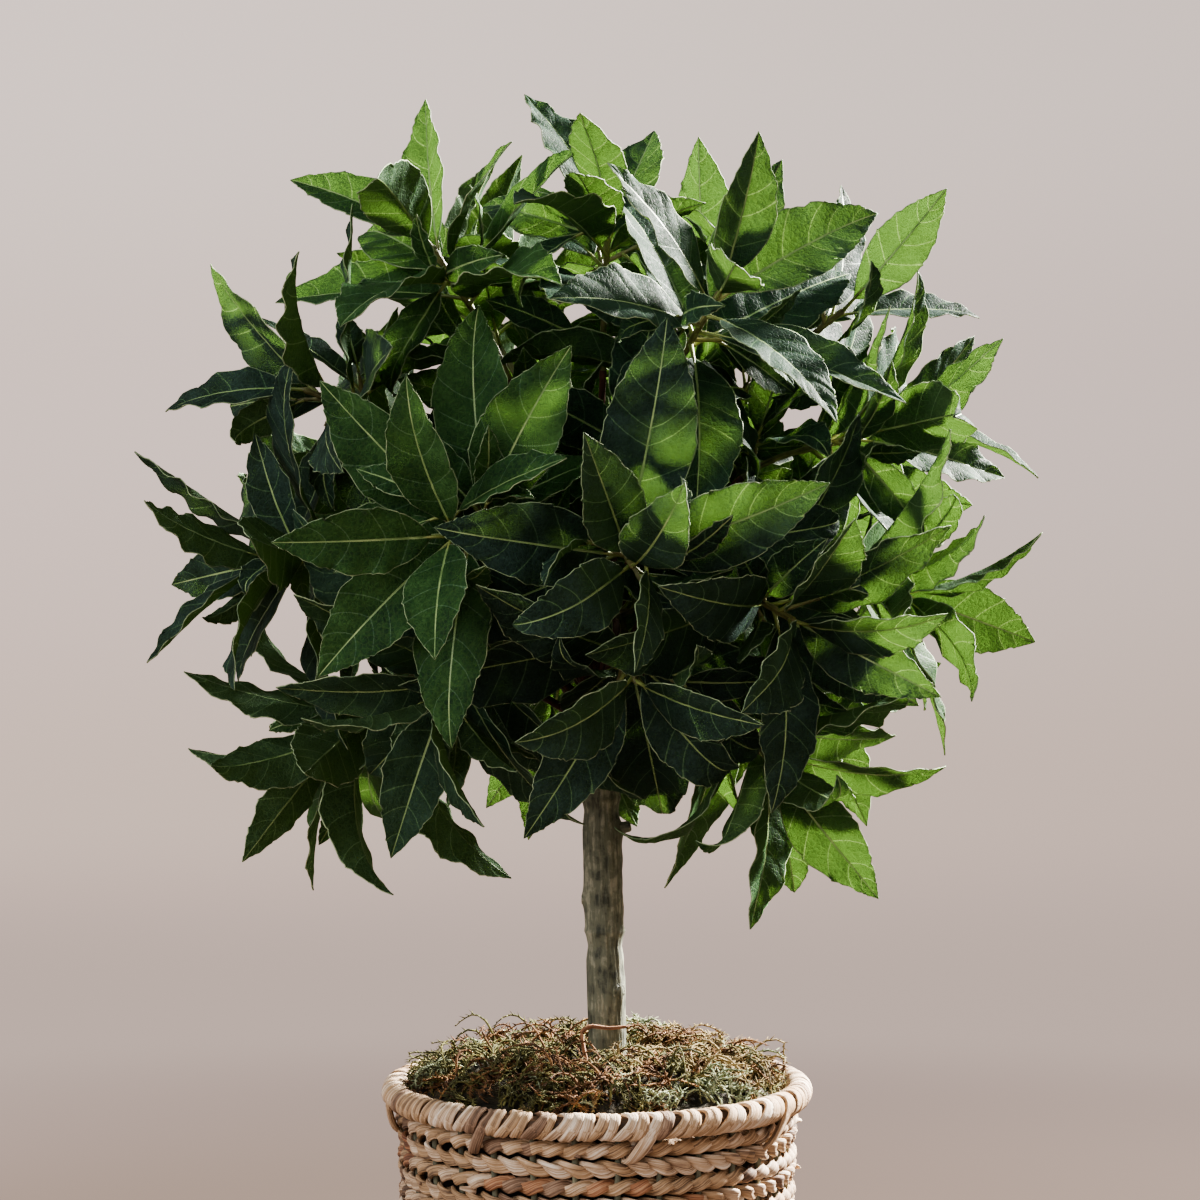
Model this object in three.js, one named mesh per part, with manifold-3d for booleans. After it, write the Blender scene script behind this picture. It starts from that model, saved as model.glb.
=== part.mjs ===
// An artificial bay tree trained as a standard: a ball of large leaves on a bare stem, set in a
// woven grass basket whose top is dressed with dried moss.
// Millimetres, +Z up. The origin is the centre of the basket's flat underside. -Y is the front.

import * as THREE from 'three';
import { mergeVertices } from 'three/addons/utils/BufferGeometryUtils.js';
import Module from 'manifold-3d';

const wasm = await Module();
wasm.setup();

// Driving sizes.

const GAP = 0.3; // between two pieces that touch on the real tree

const BASKET_FOOT_RADIUS = 75;
const BASKET_TOP_RADIUS = 81;
const BASE_THICK = 6;
const BAND_COUNT = 10;
const BAND_HEIGHT = 14;
const BAND_THICK = 7.6;
const BAND_GROOVE = 1.8; // how deep the line between two rows is
const BAND_LOBES = 14;
const STAKE_COUNT = 14;
const STAKE_RADIUS = 1.3;
const RIM_RADIUS = 80.5;
const RIM_TUBE = 5.4;
const RIM_LOBES = 20;
const LINER_WALL = 1.6;
const MOSS_HEIGHT = 21;

const BAND_PITCH = BAND_HEIGHT + GAP;
const WALL_FOOT = BASE_THICK + GAP;
const WALL_TOP = WALL_FOOT + BAND_COUNT * BAND_PITCH - GAP;
const GROUND = WALL_TOP + GAP; // the height at which the trunk stands

const TRUNK_STANDS = 4.8; // how far to the right of the basket's centre
const TRUNK_HEIGHT = 185;
const TRUNK_FLARE = 8.5;
const LEADER_FOOT = 148; // where the trunk narrows to the slim leader that carries the boughs
const LEADER_ROOT = 5.2;
const LEADER_TIP = 3.4;

const CROWN_HEIGHT = 388; // the centre of the ball of leaves
const BOUGH_ROOT_LOW = 153; // up the trunk
const BOUGH_ROOT_HIGH = 182;
const BOUGH_ROOT_RADIUS = 1.7;
const BOUGH_TIP_RADIUS = 1.4;
const TWIG_LENGTH = 36;
const TWIG_TIP_RADIUS = 1.1;
const LEAVES_ON_TWIG = 11;
const GOLDEN_TURN = 137.5;
const LEAF_LONG = 90;
const LEAF_SHORT = 64;
const LEAF_WIDTH = 0.4; // of its length
const LEAF_THICK = 1.3; // at the midrib
const STALK_ROOT = 0.5; // half the width of a leaf's stalk where it is sunk in the twig
const STALK_END = 1; // and where the blade begins
const LEAF_STATIONS = [0, 0.11, 0.36, 0.66, 1]; // along the midrib, from root to tip
const LEAF_ROOM = 1.6; // kept free on both faces of a leaf

// The boughs. heading is the compass turn round the trunk from the front towards +X, rise is the
// height angle seen from the crown's centre, reach the distance from there to the bough's tip,
// first the turn of the lowest leaf round its twig, clockwise from straight up as it is seen from
// outside the crown, and open how far the lowest leaves stand off the twig.
const BOUGHS = [
  { heading: 8, rise: -34, reach: 86, first: 118, open: 80 },
  { heading: 52, rise: -50, reach: 97, first: 170, open: 62 },
  { heading: 120, rise: -38, reach: 88, first: 60, open: 74 },
  { heading: 190, rise: -38, reach: 90, first: 200, open: 74 },
  { heading: 262, rise: -42, reach: 110, first: 190, open: 60 },
  { heading: 323, rise: -38, reach: 88, first: 186, open: 76 },
  { heading: 6, rise: -12, reach: 90, first: 90, open: 86 },
  { heading: 40, rise: -22, reach: 88, first: 92, open: 76 },
  { heading: 74, rise: -16, reach: 94, first: 70, open: 66 },
  { heading: 76, rise: 14, reach: 82, first: 20, open: 56 },
  { heading: 125, rise: 4, reach: 88, first: 150, open: 80 },
  { heading: 180, rise: 2, reach: 86, first: 20, open: 82 },
  { heading: 232, rise: 4, reach: 88, first: 250, open: 80 },
  { heading: 278, rise: -10, reach: 98, first: 250, open: 70 },
  { heading: 334, rise: -7, reach: 88, first: 346, open: 88 },
  { heading: 28, rise: 38, reach: 88, first: 62, open: 80 },
  { heading: 84, rise: 38, reach: 90, first: 350, open: 66 },
  { heading: 146, rise: 48, reach: 86, first: 330, open: 76 },
  { heading: 222, rise: 48, reach: 86, first: 40, open: 76 },
  { heading: 288, rise: 20, reach: 92, first: 300, open: 72 },
  { heading: 304, rise: 52, reach: 90, first: 320, open: 70 },
  { heading: 5, rise: 66, reach: 84, first: 276, open: 80 },
];

const { cos, sin, PI } = Math;
const radians = THREE.MathUtils.degToRad;
const mix = THREE.MathUtils.lerp;
const vector = (x, y, z) => new THREE.Vector3(x, y, z);
const sign = (value) => (Math.abs(value) < 1e-6 ? 0 : Math.sign(value));

// Solids and booleans.

// A closed geometry as a solid, with the vertices along its seams joined.
function solidOf(geometry) {
  const bare = geometry.clone();
  bare.deleteAttribute('normal');
  bare.deleteAttribute('uv');
  const joined = mergeVertices(bare, 1e-4);
  return new wasm.Manifold(new wasm.Mesh({
    numProp: 3,
    vertProperties: joined.getAttribute('position').array,
    triVerts: new Uint32Array(joined.index.array),
  }));
}

function geometryOf(solid) {
  const mesh = solid.getMesh();
  const points = new Float32Array(mesh.vertProperties);
  const geometry = new THREE.BufferGeometry();
  geometry.setAttribute('position', new THREE.BufferAttribute(points, 3));
  geometry.setIndex(new THREE.BufferAttribute(new Uint32Array(mesh.triVerts), 1));
  geometry.computeVertexNormals();
  return geometry;
}

// Several closed geometries as one body.
function fuse(geometries) {
  const whole = geometries.map(solidOf).reduce((sum, next) => sum.add(next));
  return geometryOf(whole.simplify(0.05));
}

// Moves every vertex of a geometry to where place(x, y, z) says.
function bend(geometry, place) {
  const points = geometry.getAttribute('position');
  for (let i = 0; i < points.count; i += 1) {
    const moved = place(points.getX(i), points.getY(i), points.getZ(i));
    points.setXYZ(i, moved.x, moved.y, moved.z);
  }
  return geometry;
}

// A body of revolution about +Z, from [radius, height] pairs.
function turned(profile, segments) {
  const points = profile.map(([radius, height]) => new THREE.Vector2(radius, height));
  return new THREE.LatheGeometry(points, segments).rotateX(PI / 2);
}

// A tapering limb along a curve: a cylinder whose rings are carried to the curve's frames.
function limb(curve, rootRadius, tipRadius, sides, steps) {
  const frames = curve.computeFrenetFrames(steps);
  const straight = new THREE.CylinderGeometry(tipRadius, rootRadius, 1, sides, steps);
  return bend(straight, (x, y, z) => {
    const step = Math.round((y + 0.5) * steps);
    return curve.getPointAt(step / steps)
      .addScaledVector(frames.binormals[step], x)
      .addScaledVector(frames.normals[step], z);
  });
}

// The basket: a base with upright stakes, bands of twined grass round them, and a wrapped rim.

// The wall's outer radius at a height.
const wallRadius = (height) => mix(BASKET_FOOT_RADIUS, BASKET_TOP_RADIUS, height / WALL_TOP);

function basketFrame() {
  const radius = BASKET_FOOT_RADIUS - 1;
  const base = turned([[0, 0], [radius, 0], [radius, BASE_THICK], [0, BASE_THICK]], 32);
  const inset = BAND_THICK + GAP + STAKE_RADIUS;
  const foot = vector(wallRadius(0) - inset, 0, BASE_THICK / 2);
  const top = vector(wallRadius(WALL_TOP) - inset, 0, WALL_TOP - GAP);
  const stakes = [];
  for (let i = 0; i < STAKE_COUNT; i += 1) {
    const stake = limb(new THREE.LineCurve3(foot, top), STAKE_RADIUS, STAKE_RADIUS, 4, 1);
    stakes.push(stake.rotateZ((2 * PI * i) / STAKE_COUNT));
  }
  return fuse([base, ...stakes]);
}

// One band is two twined rows that lean opposite ways, which gives the arrow pattern of the wall.
// It stands on z = 0, and foot is the height it will be raised to.
function weaveBand(foot) {
  const inner = (height) => wallRadius(foot + height) - BAND_THICK;
  const outer = wallRadius(foot + BAND_HEIGHT / 2);
  const ring = turned([
    [inner(0), 0],
    [outer - BAND_GROOVE, 0],
    [outer, BAND_HEIGHT * 0.25],
    [outer - BAND_GROOVE, BAND_HEIGHT * 0.5],
    [outer, BAND_HEIGHT * 0.75],
    [outer - BAND_GROOVE, BAND_HEIGHT],
    [inner(BAND_HEIGHT), BAND_HEIGHT],
    [inner(0), 0],
  ], BAND_LOBES * 2);
  return bend(ring, (x, y, z) => {
    const radius = Math.hypot(x, y);
    const row = z > BAND_HEIGHT / 2 ? 1 : -1;
    const lobe = radius > outer - 1 ? 0.7 * row * cos(BAND_LOBES * Math.atan2(y, x)) : 0;
    const swell = 1 + lobe / radius;
    return vector(x * swell, y * swell, z);
  });
}

// A tube whose swellings are the turns of the wrapping.
function basketRim() {
  const ring = new THREE.TorusGeometry(RIM_RADIUS, RIM_TUBE, 7, RIM_LOBES * 2);
  return bend(ring, (x, y, z) => {
    const core = vector(x, y, 0).setLength(RIM_RADIUS);
    const wrap = 0.5 * (cos(RIM_LOBES * Math.atan2(y, x)) - 1);
    return vector(x, y, z).sub(core).multiplyScalar(1 + wrap / RIM_TUBE).add(core);
  });
}

// Inside the basket: a plastic liner, the block that the trunk stands on, and the moss on top.

const linerRadius = (height) => wallRadius(height) - BAND_THICK - 2 * STAKE_RADIUS - 3 * GAP;

function liner() {
  const [foot, top] = [linerRadius(WALL_FOOT), linerRadius(WALL_TOP)];
  const depth = WALL_TOP - WALL_FOOT;
  return turned([
    [0, 0],
    [foot, 0],
    [top, depth],
    [top - LINER_WALL, depth],
    [foot - LINER_WALL, LINER_WALL],
    [0, LINER_WALL],
  ], 24);
}

const FILLER_FOOT = WALL_FOOT + LINER_WALL + GAP;

function filler() {
  const inset = LINER_WALL + GAP + 0.2;
  const depth = WALL_TOP - FILLER_FOOT;
  return turned([
    [0, 0],
    [linerRadius(FILLER_FOOT) - inset, 0],
    [linerRadius(WALL_TOP) - inset, depth],
    [0, depth],
  ], 24);
}

// A low ring-shaped mound with tufts, open in the middle for the trunk.
function mossBed() {
  const edge = RIM_RADIUS - RIM_TUBE - 1.6;
  const slope = [1, 0.9, 0.72, 0.5, 0.25, 0].map((share) => {
    return [edge * share, MOSS_HEIGHT - 6 * (1 - share) ** 2 - 13 * share ** 5];
  });
  const mound = bend(turned([[0, 0], [edge, 0], ...slope], 24), (x, y, z) => {
    const tufts = 2 * sin(x * 0.21 + 1) * cos(y * 0.19) + 1.2 * sin(x * 0.43 - y * 0.37);
    return vector(x, y, z > 1 ? z + tufts : z);
  });
  const opening = new THREE.CylinderGeometry(TRUNK_FLARE + 2 * GAP, TRUNK_FLARE + 2 * GAP, 80, 14)
    .rotateX(PI / 2)
    .translate(TRUNK_STANDS, 0, 0);
  return geometryOf(solidOf(mound).subtract(solidOf(opening)));
}

// The trunk: a straight stem in three lengths with a pinched joint between each, a snag and two
// branch scars, and the leader at the top. It stands on z = 0.

const TRUNK_PROFILE = [
  [0, 0], [TRUNK_FLARE, 0], [7.6, 12], [7.5, 57], [6.6, 63], [7.7, 69], [7.8, 109], [6.6, 117],
  [7.5, 122], [7.6, 143], [LEADER_ROOT, LEADER_FOOT], [LEADER_TIP, TRUNK_HEIGHT], [0, TRUNK_HEIGHT],
];
const KNOTS = [
  { height: 109, heading: 78, radius: 2, length: 11.5 },
  { height: 45, heading: 42, radius: 3.2, length: 8.3 },
  { height: 81, heading: 268, radius: 2, length: 8.8 },
];

// How far the stem has leaned at a height. Its top is over the basket's centre.
const trunkLean = (height) => (-TRUNK_STANDS * height) / TRUNK_HEIGHT;

// A level direction at a compass turn from the front towards +X.
const level = (heading) => vector(sin(radians(heading)), -cos(radians(heading)), 0);

function trunk() {
  const lean = (x, y, z) => vector(x + trunkLean(z), y, z);
  const stem = bend(turned(TRUNK_PROFILE, 12), lean);
  const knots = KNOTS.map((knot) => {
    const root = vector(trunkLean(knot.height), 0, knot.height);
    const tip = root.clone().addScaledVector(level(knot.heading), knot.length);
    return limb(new THREE.LineCurve3(root, tip), knot.radius, knot.radius * 0.8, 7, 1);
  });
  return fuse([stem, ...knots]);
}

// The crown, measured from its own centre. Boughs leave the leader, and each carries a spray.

// A small seeded generator, so that the crown comes out the same every time.
function chance(seed) {
  let state = seed;
  const draw = (low, high) => {
    state = (state * 1664525 + 1013904223) % 4294967296;
    return low + ((high - low) * state) / 4294967296;
  };
  draw(0, 1);
  draw(0, 1);
  return draw;
}

// The way a bough's twig points, which is straight out from the crown's centre.
function outward(bough) {
  const rise = radians(bough.rise);
  return level(bough.heading).multiplyScalar(cos(rise)).setZ(sin(rise));
}

function boughCurve(bough) {
  const axis = outward(bough);
  const tip = axis.clone().multiplyScalar(bough.reach);
  const height = mix(BOUGH_ROOT_LOW, BOUGH_ROOT_HIGH, (bough.rise + 38) / 116);
  const upLeader = (height - LEADER_FOOT) / (TRUNK_HEIGHT - LEADER_FOOT);
  const climb = radians(45 + 0.3 * bough.rise);
  const clear = mix(LEADER_ROOT, LEADER_TIP, upLeader) + GAP + BOUGH_ROOT_RADIUS * sin(climb);
  const start = level(bough.heading).multiplyScalar(clear);
  start.x += TRUNK_STANDS + trunkLean(height);
  start.z += GROUND + height - CROWN_HEIGHT;
  const leave = level(bough.heading).multiplyScalar(cos(climb)).setZ(sin(climb));
  const pull = 0.38 * start.distanceTo(tip);
  return new THREE.CubicBezierCurve3(
    start,
    start.clone().addScaledVector(leave, pull),
    tip.clone().addScaledVector(axis, -pull),
    tip,
  );
}

// Where a spray stands: its twig runs along its own +Z, and its +Y leans to straight up.
function sprayPlace(bough) {
  const axis = outward(bough);
  const right = vector(0, 0, 1).cross(axis).normalize();
  const up = axis.clone().cross(right);
  return new THREE.Matrix4()
    .makeBasis(right, up, axis)
    .setPosition(axis.multiplyScalar(bough.reach + GAP));
}

// The facts of one leaf, in its spray's own frame. The lowest leaves of a twig are the largest and
// stand out sideways, and the last ones are small and point along it.
function leafOf(boughIndex, rank, turnBy, splayBy) {
  const bough = BOUGHS[boughIndex];
  const draw = chance((boughIndex + 1) * 1009 + rank * 97);
  const share = rank / (LEAVES_ON_TWIG - 1);
  const turn = radians(bough.first + rank * GOLDEN_TURN + draw(-8, 8) + turnBy);
  const lean = mix(bough.open, 0.3 * bough.open, share ** 1.2);
  const splay = radians(lean + draw(-7, 7) + splayBy);
  const length = mix(LEAF_LONG, LEAF_SHORT, share) * draw(0.92, 1.06);
  return {
    base: vector(0, 0, TWIG_LENGTH * mix(0.1, 0.94, share)),
    along: vector(sin(turn) * sin(splay), cos(turn) * sin(splay), cos(splay)),
    face: vector(-sin(turn) * cos(splay), -cos(turn) * cos(splay), sin(splay)),
    length,
    width: length * LEAF_WIDTH * draw(0.88, 1.08),
    droop: radians(draw(12, 46)),
    fold: draw(0.12, 0.42),
    twist: radians(draw(-26, 26)),
  };
}

// Half the blade's width at a share of the leaf's length, stalk included.
function leafHalfWidth(leaf, share) {
  const stalk = LEAF_STATIONS[1];
  if (share <= stalk) return mix(STALK_ROOT, STALK_END, share / stalk);
  const blade = (share - stalk) / (1 - stalk);
  return Math.max(STALK_END * (1 - blade), (leaf.width / 2) * sin(PI * blade ** 0.8) ** 1.15);
}

// A point of a leaf: share along the midrib, across from -1 to 1, lift off the blade's face. The
// midrib is an arc that droops away from the face, the margins fold up, and the tip is twisted.
function leafPoint(leaf, share, across, lift) {
  const angle = leaf.droop * share;
  const ahead = leaf.along.clone().multiplyScalar(cos(angle)).addScaledVector(leaf.face, -sin(angle));
  const face = leaf.face.clone().multiplyScalar(cos(angle)).addScaledVector(leaf.along, sin(angle));
  const side = ahead.cross(face);
  const roll = leaf.twist * share;
  const width = leafHalfWidth(leaf, share) * across;
  const rise = lift + leaf.fold * Math.abs(width);
  return leaf.base.clone()
    .addScaledVector(leaf.along, (leaf.length * sin(angle)) / leaf.droop)
    .addScaledVector(leaf.face, (-leaf.length * (1 - cos(angle))) / leaf.droop)
    .addScaledVector(side, width * cos(roll) + rise * sin(roll))
    .addScaledVector(face, rise * cos(roll) - width * sin(roll));
}

// A leaf is a four-sided cylinder whose section becomes a thin lens across the blade.
function leafGeometry(leaf) {
  const rows = LEAF_STATIONS.length - 1;
  return bend(new THREE.CylinderGeometry(0, 1, 1, 4, rows), (x, y, z) => {
    const share = LEAF_STATIONS[Math.round((y + 0.5) * rows)];
    return leafPoint(leaf, share, sign(x), (sign(z) * LEAF_THICK) / 2);
  });
}

// A mass of foliage: the twig with the roots of its leaves sunk in it.
function sprayGeometry(leaves) {
  const twig = new THREE.CylinderGeometry(TWIG_TIP_RADIUS, BOUGH_TIP_RADIUS, TWIG_LENGTH, 4)
    .rotateX(PI / 2)
    .translate(0, 0, TWIG_LENGTH / 2);
  return fuse([twig, ...leaves.map(leafGeometry)]);
}

// Room for the leaves. A shell is a set of triangles that no other shell may cross.

function shellOf(triangles) {
  const box = new THREE.Box3();
  triangles.forEach((corners) => corners.forEach((corner) => box.expandByPoint(corner)));
  return { triangles, box };
}

// A leaf's middle surface from one of its stations on, or one a little above or below it.
function leafTriangles(leaf, place, from, lift, spread) {
  const rows = LEAF_STATIONS.slice(from).map((share) => {
    return [-spread, 0, spread].map((across) => leafPoint(leaf, share, across, lift).applyMatrix4(place));
  });
  const triangles = [];
  for (let i = 0; i + 1 < rows.length; i += 1) {
    for (let half = 0; half < 2; half += 1) {
      const [a, b] = [rows[i][half], rows[i][half + 1]];
      const [c, d] = [rows[i + 1][half], rows[i + 1][half + 1]];
      triangles.push([a, b, d], [a, d, c]);
    }
  }
  return triangles;
}

// A limb's skin with the leaves' room round it.
function limbShell(curve, radius, steps) {
  const geometry = limb(curve, radius + LEAF_ROOM, radius + LEAF_ROOM, 4, steps).toNonIndexed();
  const points = geometry.getAttribute('position');
  const corner = (i) => new THREE.Vector3().fromBufferAttribute(points, i);
  const triangles = [];
  for (let i = 0; i < points.count; i += 3) triangles.push([corner(i), corner(i + 1), corner(i + 2)]);
  return shellOf(triangles);
}

const ray = new THREE.Ray();
const hit = new THREE.Vector3();

function edgeCrosses(start, end, [a, b, c]) {
  ray.origin.copy(start);
  ray.direction.copy(end).sub(start);
  const length = ray.direction.length();
  if (length < 1e-6) return false;
  ray.direction.divideScalar(length);
  const found = ray.intersectTriangle(a, b, c, false, hit);
  return found !== null && found.distanceTo(start) <= length;
}

const edgesCross = (one, other) => [0, 1, 2].some((i) => edgeCrosses(one[i], one[(i + 1) % 3], other));

function shellsCross(one, other) {
  if (!one.box.intersectsBox(other.box)) return false;
  const box = new THREE.Box3();
  const near = other.triangles.filter((corners) => one.box.intersectsBox(box.setFromPoints(corners)));
  return near.some((b) => one.triangles.some((a) => edgesCross(a, b) || edgesCross(b, a)));
}

// Turns and tilts, in degrees, that are tried until a leaf fits.
const TRIES = [
  [0, 0], [12, 0], [-12, 0], [0, -12], [0, 12], [22, -8], [-22, -8], [20, 14], [-20, 14], [34, 0], [-34, 0],
];

// Finds a place for every leaf, and leaves out the ones that fit nowhere. All sprays get their
// first leaf before any gets its second. A leaf keeps clear of the leader, the boughs, the other
// twigs, every leaf of the other sprays, and the blades of its own.
function growLeaves() {
  const leaderAt = (height) => vector(TRUNK_STANDS + trunkLean(height), 0, GROUND + height - CROWN_HEIGHT);
  const leader = new THREE.LineCurve3(leaderAt(LEADER_FOOT - 8), leaderAt(TRUNK_HEIGHT));
  const limbs = BOUGHS.map((bough) => limbShell(boughCurve(bough), BOUGH_ROOT_RADIUS, 7));
  limbs.push(limbShell(leader, LEADER_ROOT + 2, 1));
  const places = BOUGHS.map(sprayPlace);
  const twigs = places.map((place) => {
    const root = vector(0, 0, 0).applyMatrix4(place);
    const tip = vector(0, 0, TWIG_LENGTH).applyMatrix4(place);
    return limbShell(new THREE.LineCurve3(root, tip), BOUGH_TIP_RADIUS, 1);
  });
  const sprays = BOUGHS.map(() => ({ leaves: [], blades: [], wholes: [] }));
  for (let rank = 0; rank < LEAVES_ON_TWIG; rank += 1) {
    sprays.forEach((spray, i) => {
      const otherTwigs = twigs.filter((twig, k) => k !== i);
      const otherLeaves = sprays.filter((other) => other !== spray).flatMap((other) => other.wholes);
      const skin = (leaf, from) => {
        const layers = [-LEAF_ROOM, 0, LEAF_ROOM];
        return shellOf(layers.flatMap((lift) => leafTriangles(leaf, places[i], from, lift, 1.06)));
      };
      const fits = (leaf) => {
        const blade = skin(leaf, 1);
        const whole = skin(leaf, 0);
        return ![...limbs, ...spray.blades].some((shell) => shellsCross(blade, shell))
          && ![...otherTwigs, ...otherLeaves].some((shell) => shellsCross(whole, shell));
      };
      const leaf = TRIES.map(([turnBy, splayBy]) => leafOf(i, rank, turnBy, splayBy)).find(fits);
      if (leaf) {
        spray.leaves.push(leaf);
        spray.blades.push(shellOf(leafTriangles(leaf, places[i], 1, 0, 1)));
        spray.wholes.push(shellOf(leafTriangles(leaf, places[i], 0, 0, 1)));
      }
    });
  }
  return sprays.map((spray) => spray.leaves);
}

// The whole tree.

function piece(name, geometry, color, roughness) {
  const material = new THREE.MeshStandardMaterial({ color, roughness, metalness: 0 });
  const mesh = new THREE.Mesh(geometry, material);
  mesh.name = name;
  return mesh;
}

const numbered = (name, index) => `${name}_${String(index + 1).padStart(2, '0')}`;

const basket = new THREE.Group();
basket.add(piece('basket_frame', basketFrame(), '#7d6a50', 0.8));
for (let i = 0; i < BAND_COUNT; i += 1) {
  const foot = WALL_FOOT + i * BAND_PITCH;
  const band = piece(numbered('weave_band', i), weaveBand(foot), '#b08a68', 0.8);
  band.position.z = foot;
  basket.add(band);
}
const rim = piece('basket_rim', basketRim(), '#c09a78', 0.75);
rim.position.z = WALL_TOP + GAP + RIM_TUBE;
const cup = piece('liner', liner(), '#2a2724', 0.6);
cup.position.z = WALL_FOOT;
const block = piece('filler', filler(), '#55483b', 0.95);
block.position.z = FILLER_FOOT;
const moss = piece('moss_bed', mossBed(), '#5f5a38', 0.95);
moss.position.z = GROUND;
basket.add(rim, cup, block, moss);

const stem = piece('trunk', trunk(), '#6b6a52', 0.85);
stem.position.set(TRUNK_STANDS, 0, GROUND);

const crown = new THREE.Group();
crown.position.z = CROWN_HEIGHT;
growLeaves().forEach((leaves, i) => {
  const curve = boughCurve(BOUGHS[i]);
  const bough = limb(curve, BOUGH_ROOT_RADIUS, BOUGH_TIP_RADIUS, 4, 5);
  crown.add(piece(numbered('bough', i), bough, '#5a4436', 0.6));
  const green = new THREE.Color('#2c4f22').offsetHSL(0, 0, chance(i)(-0.03, 0.03));
  const spray = piece(numbered('leaf_spray', i), sprayGeometry(leaves), green, 0.45);
  spray.applyMatrix4(sprayPlace(BOUGHS[i]));
  crown.add(spray);
});

const bayTree = new THREE.Group();
bayTree.add(basket, stem, crown);

export default bayTree;
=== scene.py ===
# %% [markdown]
# # An artificial bay tree in a grass basket
# The tree is a standard: a ball of large leaves on a bare stem. The leaves are printed cloth with a pale cut
# edge, the stems are coloured plastic, and the basket is twined from dry grass and dressed with dried moss.
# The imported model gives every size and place, and this script gives every surface. Lengths are in
# millimetres until a mesh is made, because that is how a maker would measure them.

# %% Load the frame
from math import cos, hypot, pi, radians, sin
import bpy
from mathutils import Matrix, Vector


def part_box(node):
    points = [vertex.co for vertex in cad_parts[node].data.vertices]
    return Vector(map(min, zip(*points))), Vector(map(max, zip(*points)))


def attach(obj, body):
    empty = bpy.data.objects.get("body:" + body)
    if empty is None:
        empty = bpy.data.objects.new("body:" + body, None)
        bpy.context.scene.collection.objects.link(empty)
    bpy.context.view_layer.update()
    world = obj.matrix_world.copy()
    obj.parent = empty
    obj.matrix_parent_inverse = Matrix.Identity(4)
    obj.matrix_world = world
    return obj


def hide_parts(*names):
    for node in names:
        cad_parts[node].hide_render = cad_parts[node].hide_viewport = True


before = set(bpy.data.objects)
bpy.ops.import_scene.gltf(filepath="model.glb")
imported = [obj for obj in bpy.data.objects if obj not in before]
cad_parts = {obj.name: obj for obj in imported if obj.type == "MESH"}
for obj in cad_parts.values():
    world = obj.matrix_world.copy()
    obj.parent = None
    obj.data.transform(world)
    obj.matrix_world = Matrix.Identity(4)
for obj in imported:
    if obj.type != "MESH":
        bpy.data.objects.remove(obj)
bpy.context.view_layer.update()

# %% Tools and units
from types import SimpleNamespace

import bpy
import numpy as np
from mathutils import Vector
from mathutils.bvhtree import BVHTree

MM = 0.001  # one millimetre in Blender's metres
BODY = "root"

# %% [markdown]
# ## The camera
# The photograph looks level at the crown from a little over a metre away, with a longish lens, so the leaves
# keep their shape at the edges. The focal length is the photograph's focal distance in pixels, carried to a
# 36 mm sensor.

# %% Camera
PHOTO_SIDE = 1200  # pixels
FOCAL_PIXELS = 2700
SENSOR = 36  # mm
EYE = Vector((1.2, -1080, 350)) * MM


def new_object(name, data):
    """An object of the scene, for a camera, a lamp or a mesh."""
    made = bpy.data.objects.new(name, data)
    bpy.context.scene.collection.objects.link(made)
    return made


lens = bpy.data.cameras.new("photo_lens")
lens.sensor_width = SENSOR
lens.lens = SENSOR * FOCAL_PIXELS / PHOTO_SIDE
camera = new_object("photo_camera", lens)
camera.location = EYE
camera.rotation_euler = (pi / 2, 0, 0)
bpy.context.scene.camera = camera
print("lens:", lens.lens, "mm")

# %% [markdown]
# ## Random draws
# Everything that varies comes from small seeded generators, so the tree is the same each time. This is the
# rule that the part's source uses, and with the same seeds it deals the same numbers.

# %% Seeded draws
DRAW_FACTOR = 1664525
DRAW_STEP = 1013904223
DRAW_RANGE = 2**32


def chance(seed):
    """A function that draws numbers between two bounds, always the same ones for the same seed."""
    state = seed

    def draw(low, high):
        nonlocal state
        state = (state * DRAW_FACTOR + DRAW_STEP) % DRAW_RANGE
        return low + (high - low) * state / DRAW_RANGE

    draw(0, 1)
    draw(0, 1)
    return draw


def mix(a, b, share):
    """From a to b as share goes from 0 to 1."""
    return a + (b - a) * share


def unit(v):
    """Vectors along the last axis, each made one long."""
    return v / np.maximum(np.linalg.norm(v, axis=-1, keepdims=True), 1e-9)


def ripple(place, seed, waves):
    """A value that wanders smoothly between about -1 and 1: a few sine waves with seeded starts."""
    draw = chance(seed)
    total = 0
    for wave in waves:
        weight = draw(0.5, 1)
        total = total + weight * np.sin(wave * place + draw(0, 2 * pi))
    return total / len(waves)


def hump(distance, reach):
    """1 where the distance is 0, and nearly nothing beyond twice the reach."""
    return np.exp(-((distance / reach) ** 2))


print("first draws:", [round(chance(7)(0, 1), 3) for _ in range(2)])

# %% [markdown]
# ## Gathering shapes into one mesh
# A leaf or a strand of grass is small, and there are hundreds of each. Blender is quick with one large mesh
# and slow with hundreds of objects, so shapes are gathered as number arrays and turned into a mesh once.
# Each point also gets a `lay`, its place in millimetres along and round its own strand or leaf. Materials
# read it, so that grain runs along each strand whichever way the strand turns.

# %% Meshes and grids


def smooth_mesh(name, points, faces):
    mesh = bpy.data.meshes.new(name)
    mesh.from_pydata(points.tolist(), [], faces)
    mesh.polygons.foreach_set("use_smooth", [True] * len(faces))
    return mesh


def grid_faces(rows, columns, closed_rows=False, closed_columns=False):
    """The faces of a grid of points, whose number is row * columns + column."""
    row = np.arange(rows if closed_rows else rows - 1)
    column = np.arange(columns if closed_columns else columns - 1)
    i, j = (a.ravel() for a in np.meshgrid(row, column, indexing="ij"))
    next_i = (i + 1) % rows
    next_j = (j + 1) % columns
    corners = (i * columns + j, i * columns + next_j, next_i * columns + next_j, next_i * columns + j)
    return np.stack(corners, 1)


print("faces of a grid of 2 by 3 points:", grid_faces(2, 3).tolist())

# %% Heap


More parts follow.
